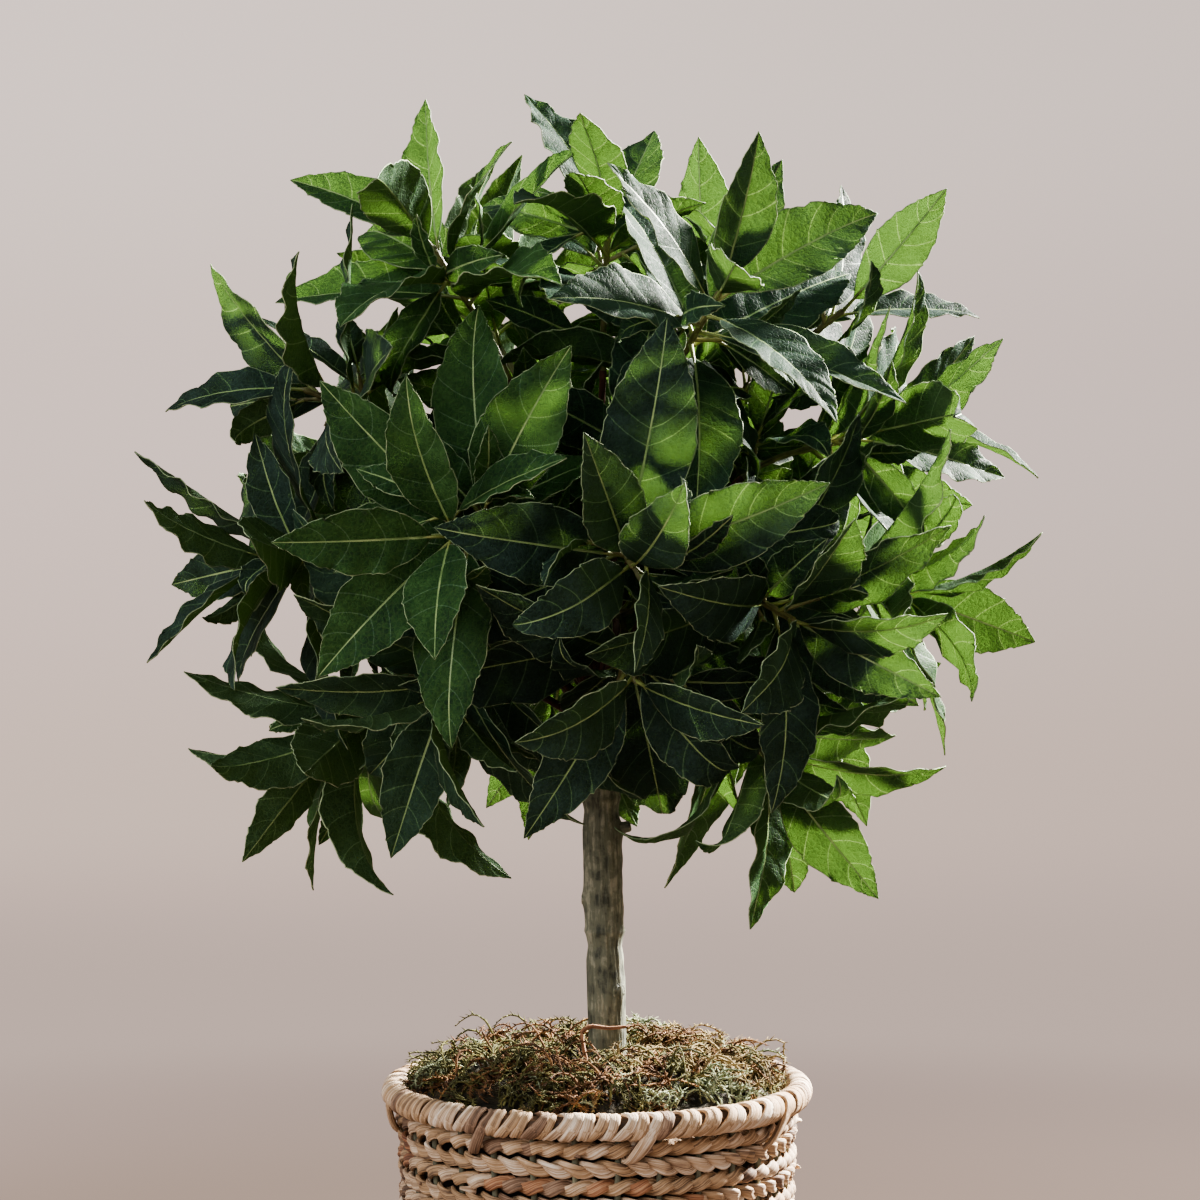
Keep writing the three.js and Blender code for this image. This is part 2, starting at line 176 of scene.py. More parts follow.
class Heap:
    """Points and faces of many shapes, on their way to one mesh."""

    def __init__(self):
        self.points = []
        self.lay = []
        self.faces = []
        self.looks = []
        self.count = 0
        self.total = 0

    def add(self, faces, look, points=None, lay=None):
        """faces is an array with one face a row, and look the number of their material, or one for each."""
        self.faces += (faces + self.count).tolist()
        self.looks += np.broadcast_to(look, len(faces)).tolist()
        if points is not None:
            self.points.append(points.reshape(-1, 3))
            self.lay.append(lay.reshape(-1, 3))
            self.total += len(self.points[-1])

    def close(self):
        """Ends one shape: the next one's faces count from zero again."""
        self.count = self.total

    def skin(self, points, lay, looks, closed=False):
        """Rings of points as a tube, which closes on itself or has a cap on each end."""
        rings, sides = points.shape[:2]
        self.add(grid_faces(rings, sides, closed, True), looks, points, lay)
        if not closed:
            self.add(np.arange(sides)[None, ::-1], looks[0])
            self.add(np.arange(sides)[None] + (rings - 1) * sides, looks[-1])
        self.close()

    def piece(self, name, slot, materials):
        """The heap as a piece that rides on the tree."""
        mesh = smooth_mesh(name, np.concatenate(self.points) * MM, self.faces)
        for material in materials:
            mesh.materials.append(material)
        mesh.polygons.foreach_set("material_index", self.looks)
        lay = mesh.attributes.new("lay", "FLOAT_VECTOR", "POINT")
        lay.data.foreach_set("vector", np.concatenate(self.lay).astype(np.float32).ravel())
        made = new_object(name, mesh)
        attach(made, BODY)
        print(name, sum(len(face) - 2 for face in self.faces), "triangles")
        return made


print("faces in an empty heap:", len(Heap().faces))

# %% [markdown]
# ## A tube along a path
# Boughs, leaf stalks, grass strands and moss are all tubes. Each has a flat side: `out` says which way it
# faces, so a strand of grass can lie flat on the basket. A tube either closes on itself, as a row of the
# basket does, or has a cap on each end.

# %% Tube


def distances(path):
    """How far along a path each of its points lies."""
    return np.concatenate([[0], np.cumsum(np.linalg.norm(np.diff(path, axis=0), axis=1))])


def tube(heap, path, wide, thick, sides, out, look, closed=False, relief=1.0):
    """A tube of half-widths wide and thick, thick being measured towards out. look may change along it."""
    steps = len(path)
    if closed:
        ahead = unit(np.roll(path, -1, 0) - np.roll(path, 1, 0))
    else:
        ahead = unit(np.gradient(path, axis=0))
    out = np.broadcast_to(out, path.shape)
    u = unit(out - ahead * (out * ahead).sum(1, keepdims=True))
    v = np.cross(ahead, u)
    turn = 2 * pi * np.arange(sides) / sides
    across = np.broadcast_to(wide, steps)[:, None] * np.sin(turn) * relief
    up = np.broadcast_to(thick, steps)[:, None] * np.cos(turn) * relief
    points = path[:, None] + u[:, None] * up[:, :, None] + v[:, None] * across[:, :, None]
    run = np.broadcast_to(distances(path)[:, None], up.shape) + path[0].sum()
    rings = steps if closed else steps - 1
    looks = np.repeat(np.broadcast_to(look, rings), sides)
    heap.skin(points, np.stack([run, across, up], 2), looks, closed)


print("a path of 3 and 4:", distances(np.array([(0, 0, 0), (3, 0, 0), (3, 4, 0)])), "mm")

# %% [markdown]
# ## Shared effects
# The same few effects turn up all over the tree: fibres that run along a strand, soft blotches, and a change
# between three tones. Each is a node group, built once and placed in each material with its own values. The
# groups only hand out masks, heights and colours. The shader itself stays in the material.

# %% Node helpers


def feed(tree, socket, value):
    """Gives an input its value, or links it to the output that value is."""
    if isinstance(value, bpy.types.NodeSocket):
        tree.links.new(value, socket)
    else:
        socket.default_value = value


def add_node(tree, kind, values=None, **settings):
    """A node of a tree, with its settings and the values of its inputs, by name or number."""
    made = tree.nodes.new(kind)
    for name, value in settings.items():
        setattr(made, name, value)
    for name, value in (values or {}).items():
        feed(tree, made.inputs[name], value)
    return made


def maths(tree, operation, a, b):
    """One sum. a and b are numbers or outputs."""
    return add_node(tree, "ShaderNodeMath", {0: a, 1: b}, operation=operation).outputs[0]


def weigh(tree, a, b, share):
    """Share of a and the rest of b."""
    return maths(tree, "ADD", maths(tree, "MULTIPLY", a, share), maths(tree, "MULTIPLY", b, 1 - share))


print("nodes of Blender", bpy.app.version_string)

# %% Groups and ranges


def new_group(name, inputs, outputs):
    """An empty group with its named sockets, and its input and output nodes."""
    group = bpy.data.node_groups.new(name, "ShaderNodeTree")
    for label, kind, value in inputs:
        socket = group.interface.new_socket(name=label, in_out="INPUT", socket_type=kind)
        if value is not None:
            socket.default_value = value
    for label, kind in outputs:
        group.interface.new_socket(name=label, in_out="OUTPUT", socket_type=kind)
    given = group.nodes.new("NodeGroupInput")
    result = group.nodes.new("NodeGroupOutput")
    return group, given.outputs, result.inputs


def smooth_range(tree, value, low, high):
    """0 below low, 1 above high, and a soft step between."""
    values = {"Value": value, "From Min": low, "From Max": high}
    return add_node(tree, "ShaderNodeMapRange", values, interpolation_type="SMOOTHSTEP").outputs["Result"]


print("groups so far:", len(bpy.data.node_groups))

# %% Fibres
NUMBER = "NodeSocketFloat"
COLOUR = "NodeSocketColor"
VECTOR = "NodeSocketVector"


def build_fibres():
    """Fine lines that run along the first direction of the vector, with a slow drift among them."""
    group, given, result = new_group(
        "fibres",
        [("Vector", VECTOR, None), ("Length", NUMBER, 20.0), ("Width", NUMBER, 0.5)],
        [("Mask", NUMBER), ("Height", NUMBER)],
    )
    parts = add_node(group, "ShaderNodeSeparateXYZ", {"Vector": given["Vector"]}).outputs
    along = maths(group, "DIVIDE", parts["X"], given["Length"])
    side = maths(group, "DIVIDE", parts["Y"], given["Width"])
    deep = maths(group, "DIVIDE", parts["Z"], given["Width"])
    stretched = add_node(group, "ShaderNodeCombineXYZ", {"X": along, "Y": side, "Z": deep}).outputs[0]
    fine = add_node(group, "ShaderNodeTexNoise", {"Vector": stretched, "Scale": 1.0, "Detail": 3.0})
    slow = add_node(group, "ShaderNodeTexNoise", {"Vector": stretched, "Scale": 0.23, "Detail": 1.0})
    both = weigh(group, fine.outputs["Fac"], slow.outputs["Fac"], 0.6)
    group.links.new(smooth_range(group, both, 0.34, 0.66), result["Mask"])
    group.links.new(fine.outputs["Fac"], result["Height"])
    return group


fibres = build_fibres()
print("group:", fibres.name)

# %% Blotches and tones


def build_blotches():
    """Soft patches about Size wide, as uneven dye, dust or dry spots make them."""
    sockets = [("Vector", VECTOR, None), ("Size", NUMBER, 10.0)]
    group, given, result = new_group("blotches", sockets, [("Mask", NUMBER), ("Height", NUMBER)])
    scale = maths(group, "DIVIDE", 1.0, given["Size"])
    values = {"Vector": given["Vector"], "Scale": scale, "Detail": 4.0, "Roughness": 0.6}
    patches = add_node(group, "ShaderNodeTexNoise", values).outputs["Fac"]
    group.links.new(smooth_range(group, patches, 0.36, 0.64), result["Mask"])
    group.links.new(patches, result["Height"])
    return group


MIX_SHARE, MIX_A, MIX_B, MIX_RESULT = 0, 6, 7, 2  # the colour sockets of a Mix node, by number


def blend_colours(tree, share, a, b):
    """The colour that goes from a to b with share. Each is a value or an output."""
    values = {MIX_SHARE: share, MIX_A: a, MIX_B: b}
    return add_node(tree, "ShaderNodeMix", values, data_type="RGBA").outputs[MIX_RESULT]


def build_tones():
    """Goes from Dark through Middle to Light as Mask goes from 0 to 1."""
    labels = ("Dark", "Middle", "Light")
    group, given, result = new_group(
        "tones", [("Mask", NUMBER, 0.5)] + [(label, COLOUR, None) for label in labels], [("Colour", COLOUR)]
    )
    lower = smooth_range(group, given["Mask"], 0.0, 0.5)
    upper = smooth_range(group, given["Mask"], 0.5, 1.0)
    first = blend_colours(group, lower, given["Dark"], given["Middle"])
    group.links.new(blend_colours(group, upper, first, given["Light"]), result["Colour"])
    return group


blotches = build_blotches()
tones = build_tones()
print("groups:", blotches.name, tones.name)

# %% [markdown]
# ## Materials of stems, grass and moss
# Dry grass, bark, cane, plastic stems and moss are all fibrous, so one function makes them. What differs
# is the three tones, how fine the fibres are, and how dull and how deep the surface is. Blotches move the
# tone up and down over some centimetres, as sun and age do, and fibres move it over less than a millimetre.

# %% Fibrous materials


def own_place(tree):
    """Where a point lies on its own strand, in millimetres."""
    return add_node(tree, "ShaderNodeAttribute", attribute_name="lay").outputs["Vector"]


def room_place(tree):
    """Where a point lies on the whole tree, in millimetres."""
    place = add_node(tree, "ShaderNodeTexCoord").outputs["Object"]
    values = {"Vector": place, "Scale": 1 / MM}
    return add_node(tree, "ShaderNodeVectorMath", values, operation="SCALE").outputs[0]


def placed(tree, group, values):
    """A shared effect, placed in a material. values go to its named inputs."""
    return add_node(tree, "ShaderNodeGroup", values, node_tree=group).outputs


def bare_material(name):
    """A material with its node tree and its Principled shader."""
    material = bpy.data.materials.new(name)
    material.use_nodes = True
    return material, material.node_tree, material.node_tree.nodes["Principled BSDF"]


def colour(hexadecimal):
    """A colour as a picture shows it, such as 7d6a50, as the linear values that Blender takes."""
    shares = [int(hexadecimal[i : i + 2], 16) / 255 for i in (0, 2, 4)]
    return tuple(s / 12.92 if s <= 0.04045 else ((s + 0.055) / 1.055) ** 2.4 for s in shares) + (1,)


def tint(tree, mask, shades):
    """The colour of a mask in three shades, from its hollows to its crests."""
    dark, middle, light = (colour(shade) for shade in shades)
    return placed(tree, tones, {"Mask": mask, "Dark": dark, "Middle": middle, "Light": light})["Colour"]


def roughen(tree, shader, mask, low, high):
    """Roughness from low in the mask's hollows to high on its crests."""
    values = {"Value": mask, "To Min": low, "To Max": high}
    feed(tree, shader.inputs["Roughness"], add_node(tree, "ShaderNodeMapRange", values).outputs["Result"])


def raise_surface(tree, shader, height, depth):
    """Bump of a depth in millimetres."""
    values = {"Height": height, "Strength": 1.0, "Distance": depth * MM}
    feed(tree, shader.inputs["Normal"], add_node(tree, "ShaderNodeBump", values).outputs["Normal"])


print("mid grey is", round(colour("808080")[0], 3), "of white")

# %% Grass, stems and moss


def fibrous(
    name, shades, length=20, width=0.5, patch=14, rough=(0.6, 0.9), depth=0.25, place=own_place, streaks=0.55
):
    """A dry, streaky material in three shades, from its hollows to its worn crests."""
    material, tree, shader = bare_material(name)
    where = place(tree)
    fibre = placed(tree, fibres, {"Vector": where, "Length": length, "Width": width})
    patches = placed(tree, blotches, {"Vector": room_place(tree), "Size": patch})
    mask = weigh(tree, fibre["Mask"], patches["Mask"], streaks)
    feed(tree, shader.inputs["Base Color"], tint(tree, mask, shades))
    roughen(tree, shader, mask, *rough)
    raise_surface(tree, shader, fibre["Height"], depth)
    return material


GRASS_SHADES = {
    "straw": ("705643", "c6aa8b", "efe2d0"),
    "tan": ("5c4837", "b0906d", "dcc4a8"),
    "brown": ("3c2b20", "7a5f4a", "ae927a"),
    "rust": ("573626", "9a6b4b", "c9a07d"),
}
GRASS = [
    fibrous(f"grass_{name}", shades, 16, 0.42, 12, (0.6, 0.85), depth=0.6, streaks=0.8)
    for name, shades in GRASS_SHADES.items()
]
# a dark colour painted as the shade in the gaps of the wrapped rim, on the bundle between its strands
painted_gap_shade = fibrous("painted_gap_shade", ("2c1e14", "4a3523", "6a4e36"))
cane = fibrous("stake_cane", ("3e4034", "626351", "85836b"), length=30, width=0.7)
bark = fibrous("trunk_bark", ("34372d", "626453", "918f7c"), 8, 1.3, 6, (0.75, 0.95), 0.6)
bough_skin = fibrous("bough_skin", ("2f1a17", "5b332c", "7d5344"), 9, 0.6, 8, (0.4, 0.62), 0.15)
twig_skin = fibrous("twig_skin", ("4b4a2d", "77754b", "9c9668"), 9, 0.5, 8, (0.4, 0.6), 0.12)
stalk_skin = fibrous("leaf_stalk", ("5d6b34", "8b9656", "b4ba7d"), 12, 0.4, 8, (0.4, 0.6), 0.08)
MOSS_SHADES = {
    "olive": ("2c2e18", "58562f", "86804c"),
    "brown": ("382718", "69492c", "9a7449"),
    "straw": ("4d4029", "7f6d47", "ab986c"),
    "green": ("454c38", "838b6b", "c3c8a6"),
}
MOSS = [
    fibrous(f"moss_{name}", shades, 2.5, 0.4, 9, (0.8, 0.95) if name == "straw" else (0.85, 1.0), 0.2)
    for name, shades in MOSS_SHADES.items()
]
GROUND_SHADES = ("16140c", "2a2415", "453c26")
PLASTIC_SHADES = ("0e0d0c", "191715", "26231f")
FOAM_SHADES = ("33271c", "55483b", "75644f")
moss_ground = fibrous("moss_ground", GROUND_SHADES, 3, 0.7, 8, (0.9, 1.0), 0.9, room_place)
liner_plastic = fibrous("liner_plastic", PLASTIC_SHADES, 40, 6, 30, (0.45, 0.6), 0.1, room_place)
filler_foam = fibrous("filler_foam", FOAM_SHADES, 3, 2, 12, (0.85, 1.0), 0.8, room_place)
print("materials:", len(bpy.data.materials))

# %% [markdown]
# ## Leaf cloth
# A leaf is thin printed cloth with a waxy front. Three things make it look right: a front that is dark and
# a little glossy with a fine net of paler veins, a lighter and duller back, and light that comes through.
# The last is a Translucent shader mixed in, which glows yellow-green where the sun is behind the leaf. The
# large veins and the cut edge are narrow faces of the mesh with their own material, because they have to
# stay exactly in place, and a pattern would drift.

# %% Net of veins


def build_net():
    """A mesh of thin lines, as the smallest veins of a leaf make it."""
    sockets = [("Vector", VECTOR, None), ("Cell", NUMBER, 3.0)]
    group, given, result = new_group("vein_net", sockets, [("Lines", NUMBER), ("Height", NUMBER)])
    scale = maths(group, "DIVIDE", 1.0, given["Cell"])
    values = {"Vector": given["Vector"], "Scale": scale}
    cells = add_node(group, "ShaderNodeTexVoronoi", values, feature="DISTANCE_TO_EDGE")
    inside = smooth_range(group, cells.outputs["Distance"], 0.02, 0.16)
    group.links.new(maths(group, "SUBTRACT", 1.0, inside), result["Lines"])
    group.links.new(inside, result["Height"])
    return group


vein_net = build_net()
print("group:", vein_net.name)

# %% Leaf materials
GLOW = 0.4  # the share of light that goes on through the cloth
SHINE = 0.08  # of the cloth, well under that of plain plastic
PUCKER = 0.5  # how deep the cloth's grain is for the light that comes through, in millimetres
MOTTLE_SIZE = 1.5
PATCH_SIZE = 16.0
MOTTLE_SHARE = 0.45  # of the shade, and the patches have the rest
NET_CELL = 1.8
NET_SHOWS = 0.4


def leaf_cloth(name, shades, line, glow, rough, depth):
    """Printed cloth: mottled shades, a net in the line colour, and light through it in the glow colour."""
    material, tree, shader = bare_material(name)
    where = own_place(tree)
    mottle = placed(tree, blotches, {"Vector": where, "Size": MOTTLE_SIZE})
    patches = placed(tree, blotches, {"Vector": where, "Size": PATCH_SIZE})
    net = placed(tree, vein_net, {"Vector": where, "Cell": NET_CELL})
    shade = tint(tree, weigh(tree, mottle["Mask"], patches["Mask"], MOTTLE_SHARE), shades)
    lines = maths(tree, "MULTIPLY", net["Lines"], NET_SHOWS)
    feed(tree, shader.inputs["Base Color"], blend_colours(tree, lines, shade, colour(line)))
    feed(tree, shader.inputs["Specular IOR Level"], SHINE)
    roughen(tree, shader, mottle["Mask"], *rough)
    raise_surface(tree, shader, net["Height"], depth)
    through = add_node(tree, "ShaderNodeBsdfTranslucent", {"Color": colour(glow)})
    raise_surface(tree, through, maths(tree, "ADD", net["Height"], mottle["Mask"]), PUCKER)
    shaders = {0: GLOW, 1: shader.outputs[0], 2: through.outputs[0]}
    both = add_node(tree, "ShaderNodeMixShader", shaders).outputs[0]
    feed(tree, tree.nodes["Material Output"].inputs["Surface"], both)
    return material


SUNLIT = "a6c382"
VEIN_SUNLIT = "d4e6ae"
WAXY = (0.56, 0.72)
FRONT_SHADES = {
    "deep": ("1b2523", "2b3a38", "3e524e", "40544a"),  # the last one is the net's
    "green": ("1e2d28", "2f453c", "445d50", "465d48"),
    "fresh": ("243a2b", "355534", "4d7144", "527042"),
}
FRONTS = [
    leaf_cloth(f"leaf_front_{name}", shades, line, SUNLIT, WAXY, 0.09)
    for name, (*shades, line) in FRONT_SHADES.items()
]
BACK_SHADES = ("28392c", "384f3c", "4e664a")
VEIN_SHADES = ("365240", "4a6a50", "688a62")
leaf_back = leaf_cloth("leaf_back", BACK_SHADES, "617c57", SUNLIT, (0.6, 0.8), 0.12)
leaf_vein = leaf_cloth("leaf_side_vein", VEIN_SHADES, "7c9c72", VEIN_SUNLIT, (0.4, 0.55), 0.05)
leaf_rib = fibrous("leaf_rib", ("5a7445", "7f9860", "a3b67c"), 14, 0.5, 9, (0.4, 0.6), 0.05)
leaf_edge = fibrous("leaf_edge", ("5c7052", "82956f", "adba92"), 8, 0.5, 9, (0.6, 0.85), 0.05)
FRONT, BACK, VEIN, RIB, EDGE, STALK = range(6)
print("leaf fronts:", [material.name for material in FRONTS])

# %% [markdown]
# ## How the crown grows
# The crown follows the rule of the part's source: every bough leaves the leader and ends at the foot of a
# twig that points straight out from the crown's centre. Leaves stand round the twig a golden turn apart, the
# largest lowest. A leaf is turned or tilted until it touches nothing, and left out if it fits nowhere. With
# the same values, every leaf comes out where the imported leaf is.

# %% Sizes of the crown
GAP = 0.3  # between a bough's tip and its twig
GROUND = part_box("trunk")[0].z / MM
TRUNK_HEIGHT = (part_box("trunk")[1].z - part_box("trunk")[0].z) / MM
TRUNK_STANDS = 4.8  # its foot, to the right of the middle
LEADER_FOOT = 148  # up the trunk
LEADER_RADII = (5.2, 3.4)
CROWN_HEIGHT = 388
BOUGH_ROOTS = (153, 182)  # how far up the trunk the lowest and the highest leave it
ROOT_RISES = (-38, 78)  # the rises of boughs that leave there
BOUGH_RADII = (1.7, 1.4)
BOUGH_CLIMB = 45  # of a bough with no rise, where it leaves the leader
CLIMB_BY_RISE = 0.3
BOUGH_PULL = 0.38  # of its length, how far each end runs nearly straight
TWIG_LENGTH = 36
TWIG_TIP_RADIUS = 1.1
TWIG_SPAN = (0.1, 0.94)  # where its lowest and highest leaves sit
LEAF_LENGTHS = (90, 64)  # the lowest leaf of a twig and the highest
LEAF_RANKS = 11
GOLDEN_TURN = 137.5

# heading, rise, reach, the turn of the first leaf, and how far the lowest leaves stand off the twig
BOUGHS = [
    (8, -34, 86, 118, 80),
    (52, -50, 97, 170, 62),
    (120, -38, 88, 60, 74),
    (190, -38, 90, 200, 74),
    (262, -42, 110, 190, 60),
    (323, -38, 88, 186, 76),
    (6, -12, 90, 90, 86),
    (40, -22, 88, 92, 76),
    (74, -16, 94, 70, 66),
    (76, 14, 82, 20, 56),
    (125, 4, 88, 150, 80),
    (180, 2, 86, 20, 82),
    (232, 4, 88, 250, 80),
    (278, -10, 98, 250, 70),
    (334, -7, 88, 346, 88),
    (28, 38, 88, 62, 80),
    (84, 38, 90, 350, 66),
    (146, 48, 86, 330, 76),
    (222, 48, 86, 40, 76),
    (288, 20, 92, 300, 72),
    (304, 52, 90, 320, 70),
    (5, 66, 84, 276, 80),
]
print("boughs:", len(BOUGHS), "ground at", round(GROUND, 1), "mm")

# %% Directions and curves


def level(heading):
    """A level direction at a compass turn from the front towards the right."""
    return np.array([sin(radians(heading)), -cos(radians(heading)), 0])


def rising(heading, rise):
    """A direction that rises from level, in degrees."""
    return level(heading) * cos(radians(rise)) + np.array([0, 0, sin(radians(rise))])


def trunk_lean(height):
    return -TRUNK_STANDS * height / TRUNK_HEIGHT


def bezier(handles, t):
    """Points of the curve with four handles, for t from 0 to 1."""
    left = 1 - t
    weights = (left**3, 3 * t * left**2, 3 * t**2 * left, t**3)
    return sum(weight * handle for weight, handle in zip(weights, handles))


print("to the right and halfway up:", rising(90, 45).round(2).tolist())

# %% Boughs


def bough_curve(heading, rise, reach):
    """A function that gives the point at a share of the bough's length, and that length."""
    axis = rising(heading, rise)
    tip = axis * reach + (0, 0, CROWN_HEIGHT)
    height = mix(*BOUGH_ROOTS, (rise - ROOT_RISES[0]) / (ROOT_RISES[1] - ROOT_RISES[0]))
    up_leader = (height - LEADER_FOOT) / (TRUNK_HEIGHT - LEADER_FOOT)
    climb = BOUGH_CLIMB + CLIMB_BY_RISE * rise
    clear = mix(*LEADER_RADII, up_leader) + GAP + BOUGH_RADII[0] * sin(radians(climb))
    start = level(heading) * clear + (TRUNK_STANDS + trunk_lean(height), 0, GROUND + height)
    pull = BOUGH_PULL * np.linalg.norm(tip - start)
    handles = (start, start + rising(heading, climb) * pull, tip - axis * pull, tip)
    t = np.linspace(0, 1, 201)[:, None]
    run = distances(bezier(handles, t))

    def at(share):
        return bezier(handles, np.interp(np.asarray(share) * run[-1], run, t[:, 0])[..., None])

    return at, run[-1]


curves = [bough_curve(*bough[:3]) for bough in BOUGHS]
print("longest bough:", round(max(length for _, length in curves)), "mm")

# %% Twigs


def standing(axis):
    """A turn whose z axis is the given one, and whose y axis leans to straight up."""
    right = unit(np.cross((0, 0, 1), axis))
    return np.stack([right, np.cross(axis, right), axis], 1)


def make_twig(number, heading, rise, reach, first, opening):
    """The main twig of a spray."""
    axis = rising(heading, rise)
    return SimpleNamespace(
        spray=number,
        turn=standing(axis),
        foot=axis * (reach + GAP) + (0, 0, CROWN_HEIGHT),
        length=TWIG_LENGTH,
        radii=(BOUGH_RADII[1], TWIG_TIP_RADIUS),
        span=TWIG_SPAN,
        first=first,
        opening=opening,
        sizes=LEAF_LENGTHS,
        ranks=LEAF_RANKS,
        seed=(number + 1) * 1009,
    )


twigs = [make_twig(number, *bough) for number, bough in enumerate(BOUGHS)]
print("highest twig:", round(twigs[-1].foot[2]), "mm up")

# %% [markdown]
# ## One leaf as a rule
# The midrib is an arc that droops away from the leaf's face, the margins fold up, and the tip is twisted.
# A few leaves also curl over from some place on, as handled cloth does. A curl bends the midrib further, so
# the arc is added up step by step.

# %% Leaf rule
STALK_SHARE = 0.11  # of a leaf's length
LEAF_WIDTH = 0.4  # of its length
TOP_OPENING = 0.3  # of the lowest leaf's opening, for the highest
LENGTH_VARIES = (0.92, 1.06)
WIDTH_VARIES = (0.88, 1.08)
DROOPS = (12, 46)  # degrees from the leaf's foot to its tip
FOLDS = (0.12, 0.42)  # rise of a margin for each millimetre to the side
TWIST = 26


def leaf_on(twig, rank, turn_by, splay_by):
    """The facts of one leaf, in its twig's own frame."""
    draw = chance(twig.seed + rank * 97)
    share = rank / (twig.ranks - 1)
    turn = radians(twig.first + rank * GOLDEN_TURN + draw(-8, 8) + turn_by)
    lean = mix(twig.opening, TOP_OPENING * twig.opening, share**1.2)
    splay = radians(lean + draw(-7, 7) + splay_by)
    length = mix(*twig.sizes, share) * draw(*LENGTH_VARIES)
    return SimpleNamespace(
        twig=twig,
        rank=rank,
        base=np.array([0, 0, twig.length * mix(*twig.span, share)]),
        along=np.array([sin(turn) * sin(splay), cos(turn) * sin(splay), cos(splay)]),
        face=np.array([-sin(turn) * cos(splay), -cos(turn) * cos(splay), sin(splay)]),
        length=length,
        width=length * LEAF_WIDTH * draw(*WIDTH_VARIES),
        droop=radians(draw(*DROOPS)),
        fold=draw(*FOLDS),
        twist=radians(draw(-TWIST, TWIST)),
        curl_from=0.6,
        curl_by=0.0,
    )


print("first leaf:", round(leaf_on(twigs[0], 0, 0, 0).length, 1), "mm long")

# %% Points of a leaf
MIDRIB_STEPS = 60


def solid_half_width(leaf, share):
    """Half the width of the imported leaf, stalk included."""
    blade = np.clip((share - STALK_SHARE) / (1 - STALK_SHARE), 0, 1)
    lens_shape = leaf.width / 2 * np.sin(pi * blade**0.8) ** 1.15
    stalk = mix(0.5, 1, share / STALK_SHARE)
    return np.where(share <= STALK_SHARE, stalk, np.maximum(1 - blade, lens_shape))


def leaf_points(leaf, share, width, rise):
    """Places of leaf points: share along the midrib, width off it to the side, rise off the blade's face."""
    steps = np.linspace(0, 1, MIDRIB_STEPS + 1)
    curl = leaf.curl_by * np.clip((steps - leaf.curl_from) / (1 - leaf.curl_from), 0, 1) ** 1.5
    angles = leaf.droop * steps + curl
    middle = (angles[1:] + angles[:-1]) / 2
    ahead_run = np.concatenate([[0], np.cumsum(np.cos(middle))]) * leaf.length / MIDRIB_STEPS
    face_run = np.concatenate([[0], np.cumsum(-np.sin(middle))]) * leaf.length / MIDRIB_STEPS
    angle = np.interp(share, steps, angles)[..., None]
    face = leaf.face * np.cos(angle) + leaf.along * np.sin(angle)
    side = np.cross(leaf.along, leaf.face)
    roll = (leaf.twist * share)[..., None]
    rise = (rise + leaf.fold * np.abs(width))[..., None]
    width = np.asarray(width)[..., None]
    place = leaf.base + leaf.along * np.interp(share, steps, ahead_run)[..., None]
    place = place + leaf.face * np.interp(share, steps, face_run)[..., None]
    place = place + side * (width * np.cos(roll) + rise * np.sin(roll))
    place = place + face * (rise * np.cos(roll) - width * np.sin(roll))
    return place @ leaf.twig.turn.T + leaf.twig.foot


tip = leaf_points(leaf_on(twigs[-1], 10, 0, 0), np.array([1.0]), 0, 0)[0]
print("the highest leaf's tip is", round(tip[2]), "mm up")

# %% [markdown]
# ## Room for the leaves
# A leaf may not cross another leaf, a limb or a twig. Blender's BVHTree finds whether two sets of triangles
# cross, and is fast enough to try each leaf in several turns. Each leaf is tested as three layers, one on
# its surface and one on each side, so it keeps a little air around it.

# %% Shells
STATIONS = np.array([0, STALK_SHARE, 0.36, 0.66, 1])  # the solid leaf's sections
HALVES = np.array([-1.0, 0.0, 1.0])


def shell(points, faces):
    return BVHTree.FromPolygons(points.tolist(), faces.tolist())


def triangles(quads):
    return np.concatenate([quads[:, [0, 1, 2]], quads[:, [0, 2, 3]]])


def leaf_shell(leaf, start, lifts, spread):
    """The leaf's surface from one of its stations on, in one layer for each lift."""
    share = np.repeat(STATIONS[start:, None], 3, 1)
    width = solid_half_width(leaf, share) * HALVES * spread
    layers = [leaf_points(leaf, share, width, lift).reshape(-1, 3) for lift in lifts]
    faces = triangles(grid_faces(len(share), 3))
    many = np.concatenate([faces + number * share.size for number in range(len(layers))])
    return shell(np.concatenate(layers), many)


def limb_shell(path, radius):
    """A square tube round a limb."""
    ahead = unit(np.gradient(path, axis=0))
    u = unit(np.cross(ahead, (0.3, 0.5, 0.8)))
    v = np.cross(ahead, u)
    ring = [u, v, -u, -v]
    points = np.stack([path + side * radius for side in ring], 1).reshape(-1, 3)
    return shell(points, triangles(grid_faces(len(path), 4, False, True)))


def twig_path(twig, steps=2):
    return twig.foot + twig.turn[:, 2] * np.linspace(0, twig.length, steps)[:, None]


first_two = [limb_shell(twig_path(twig), BOUGH_RADII[1]) for twig in twigs[:2]]
print("the first two twigs cross:", len(first_two[0].overlap(first_two[1])) > 0)

# %% Grow the leaves
LEAF_ROOM = 1.6  # air on both sides
LEAF_SPREAD = 1.06  # air round its margin, as a share of its width
TRIES = [(0, 0), (12, 0), (-12, 0), (0, -12), (0, 12), (22, -8), (-22, -8)]  # turned by and tilted by
TRIES += [(20, 14), (-20, 14), (34, 0), (-34, 0)]
placed_leaves = []


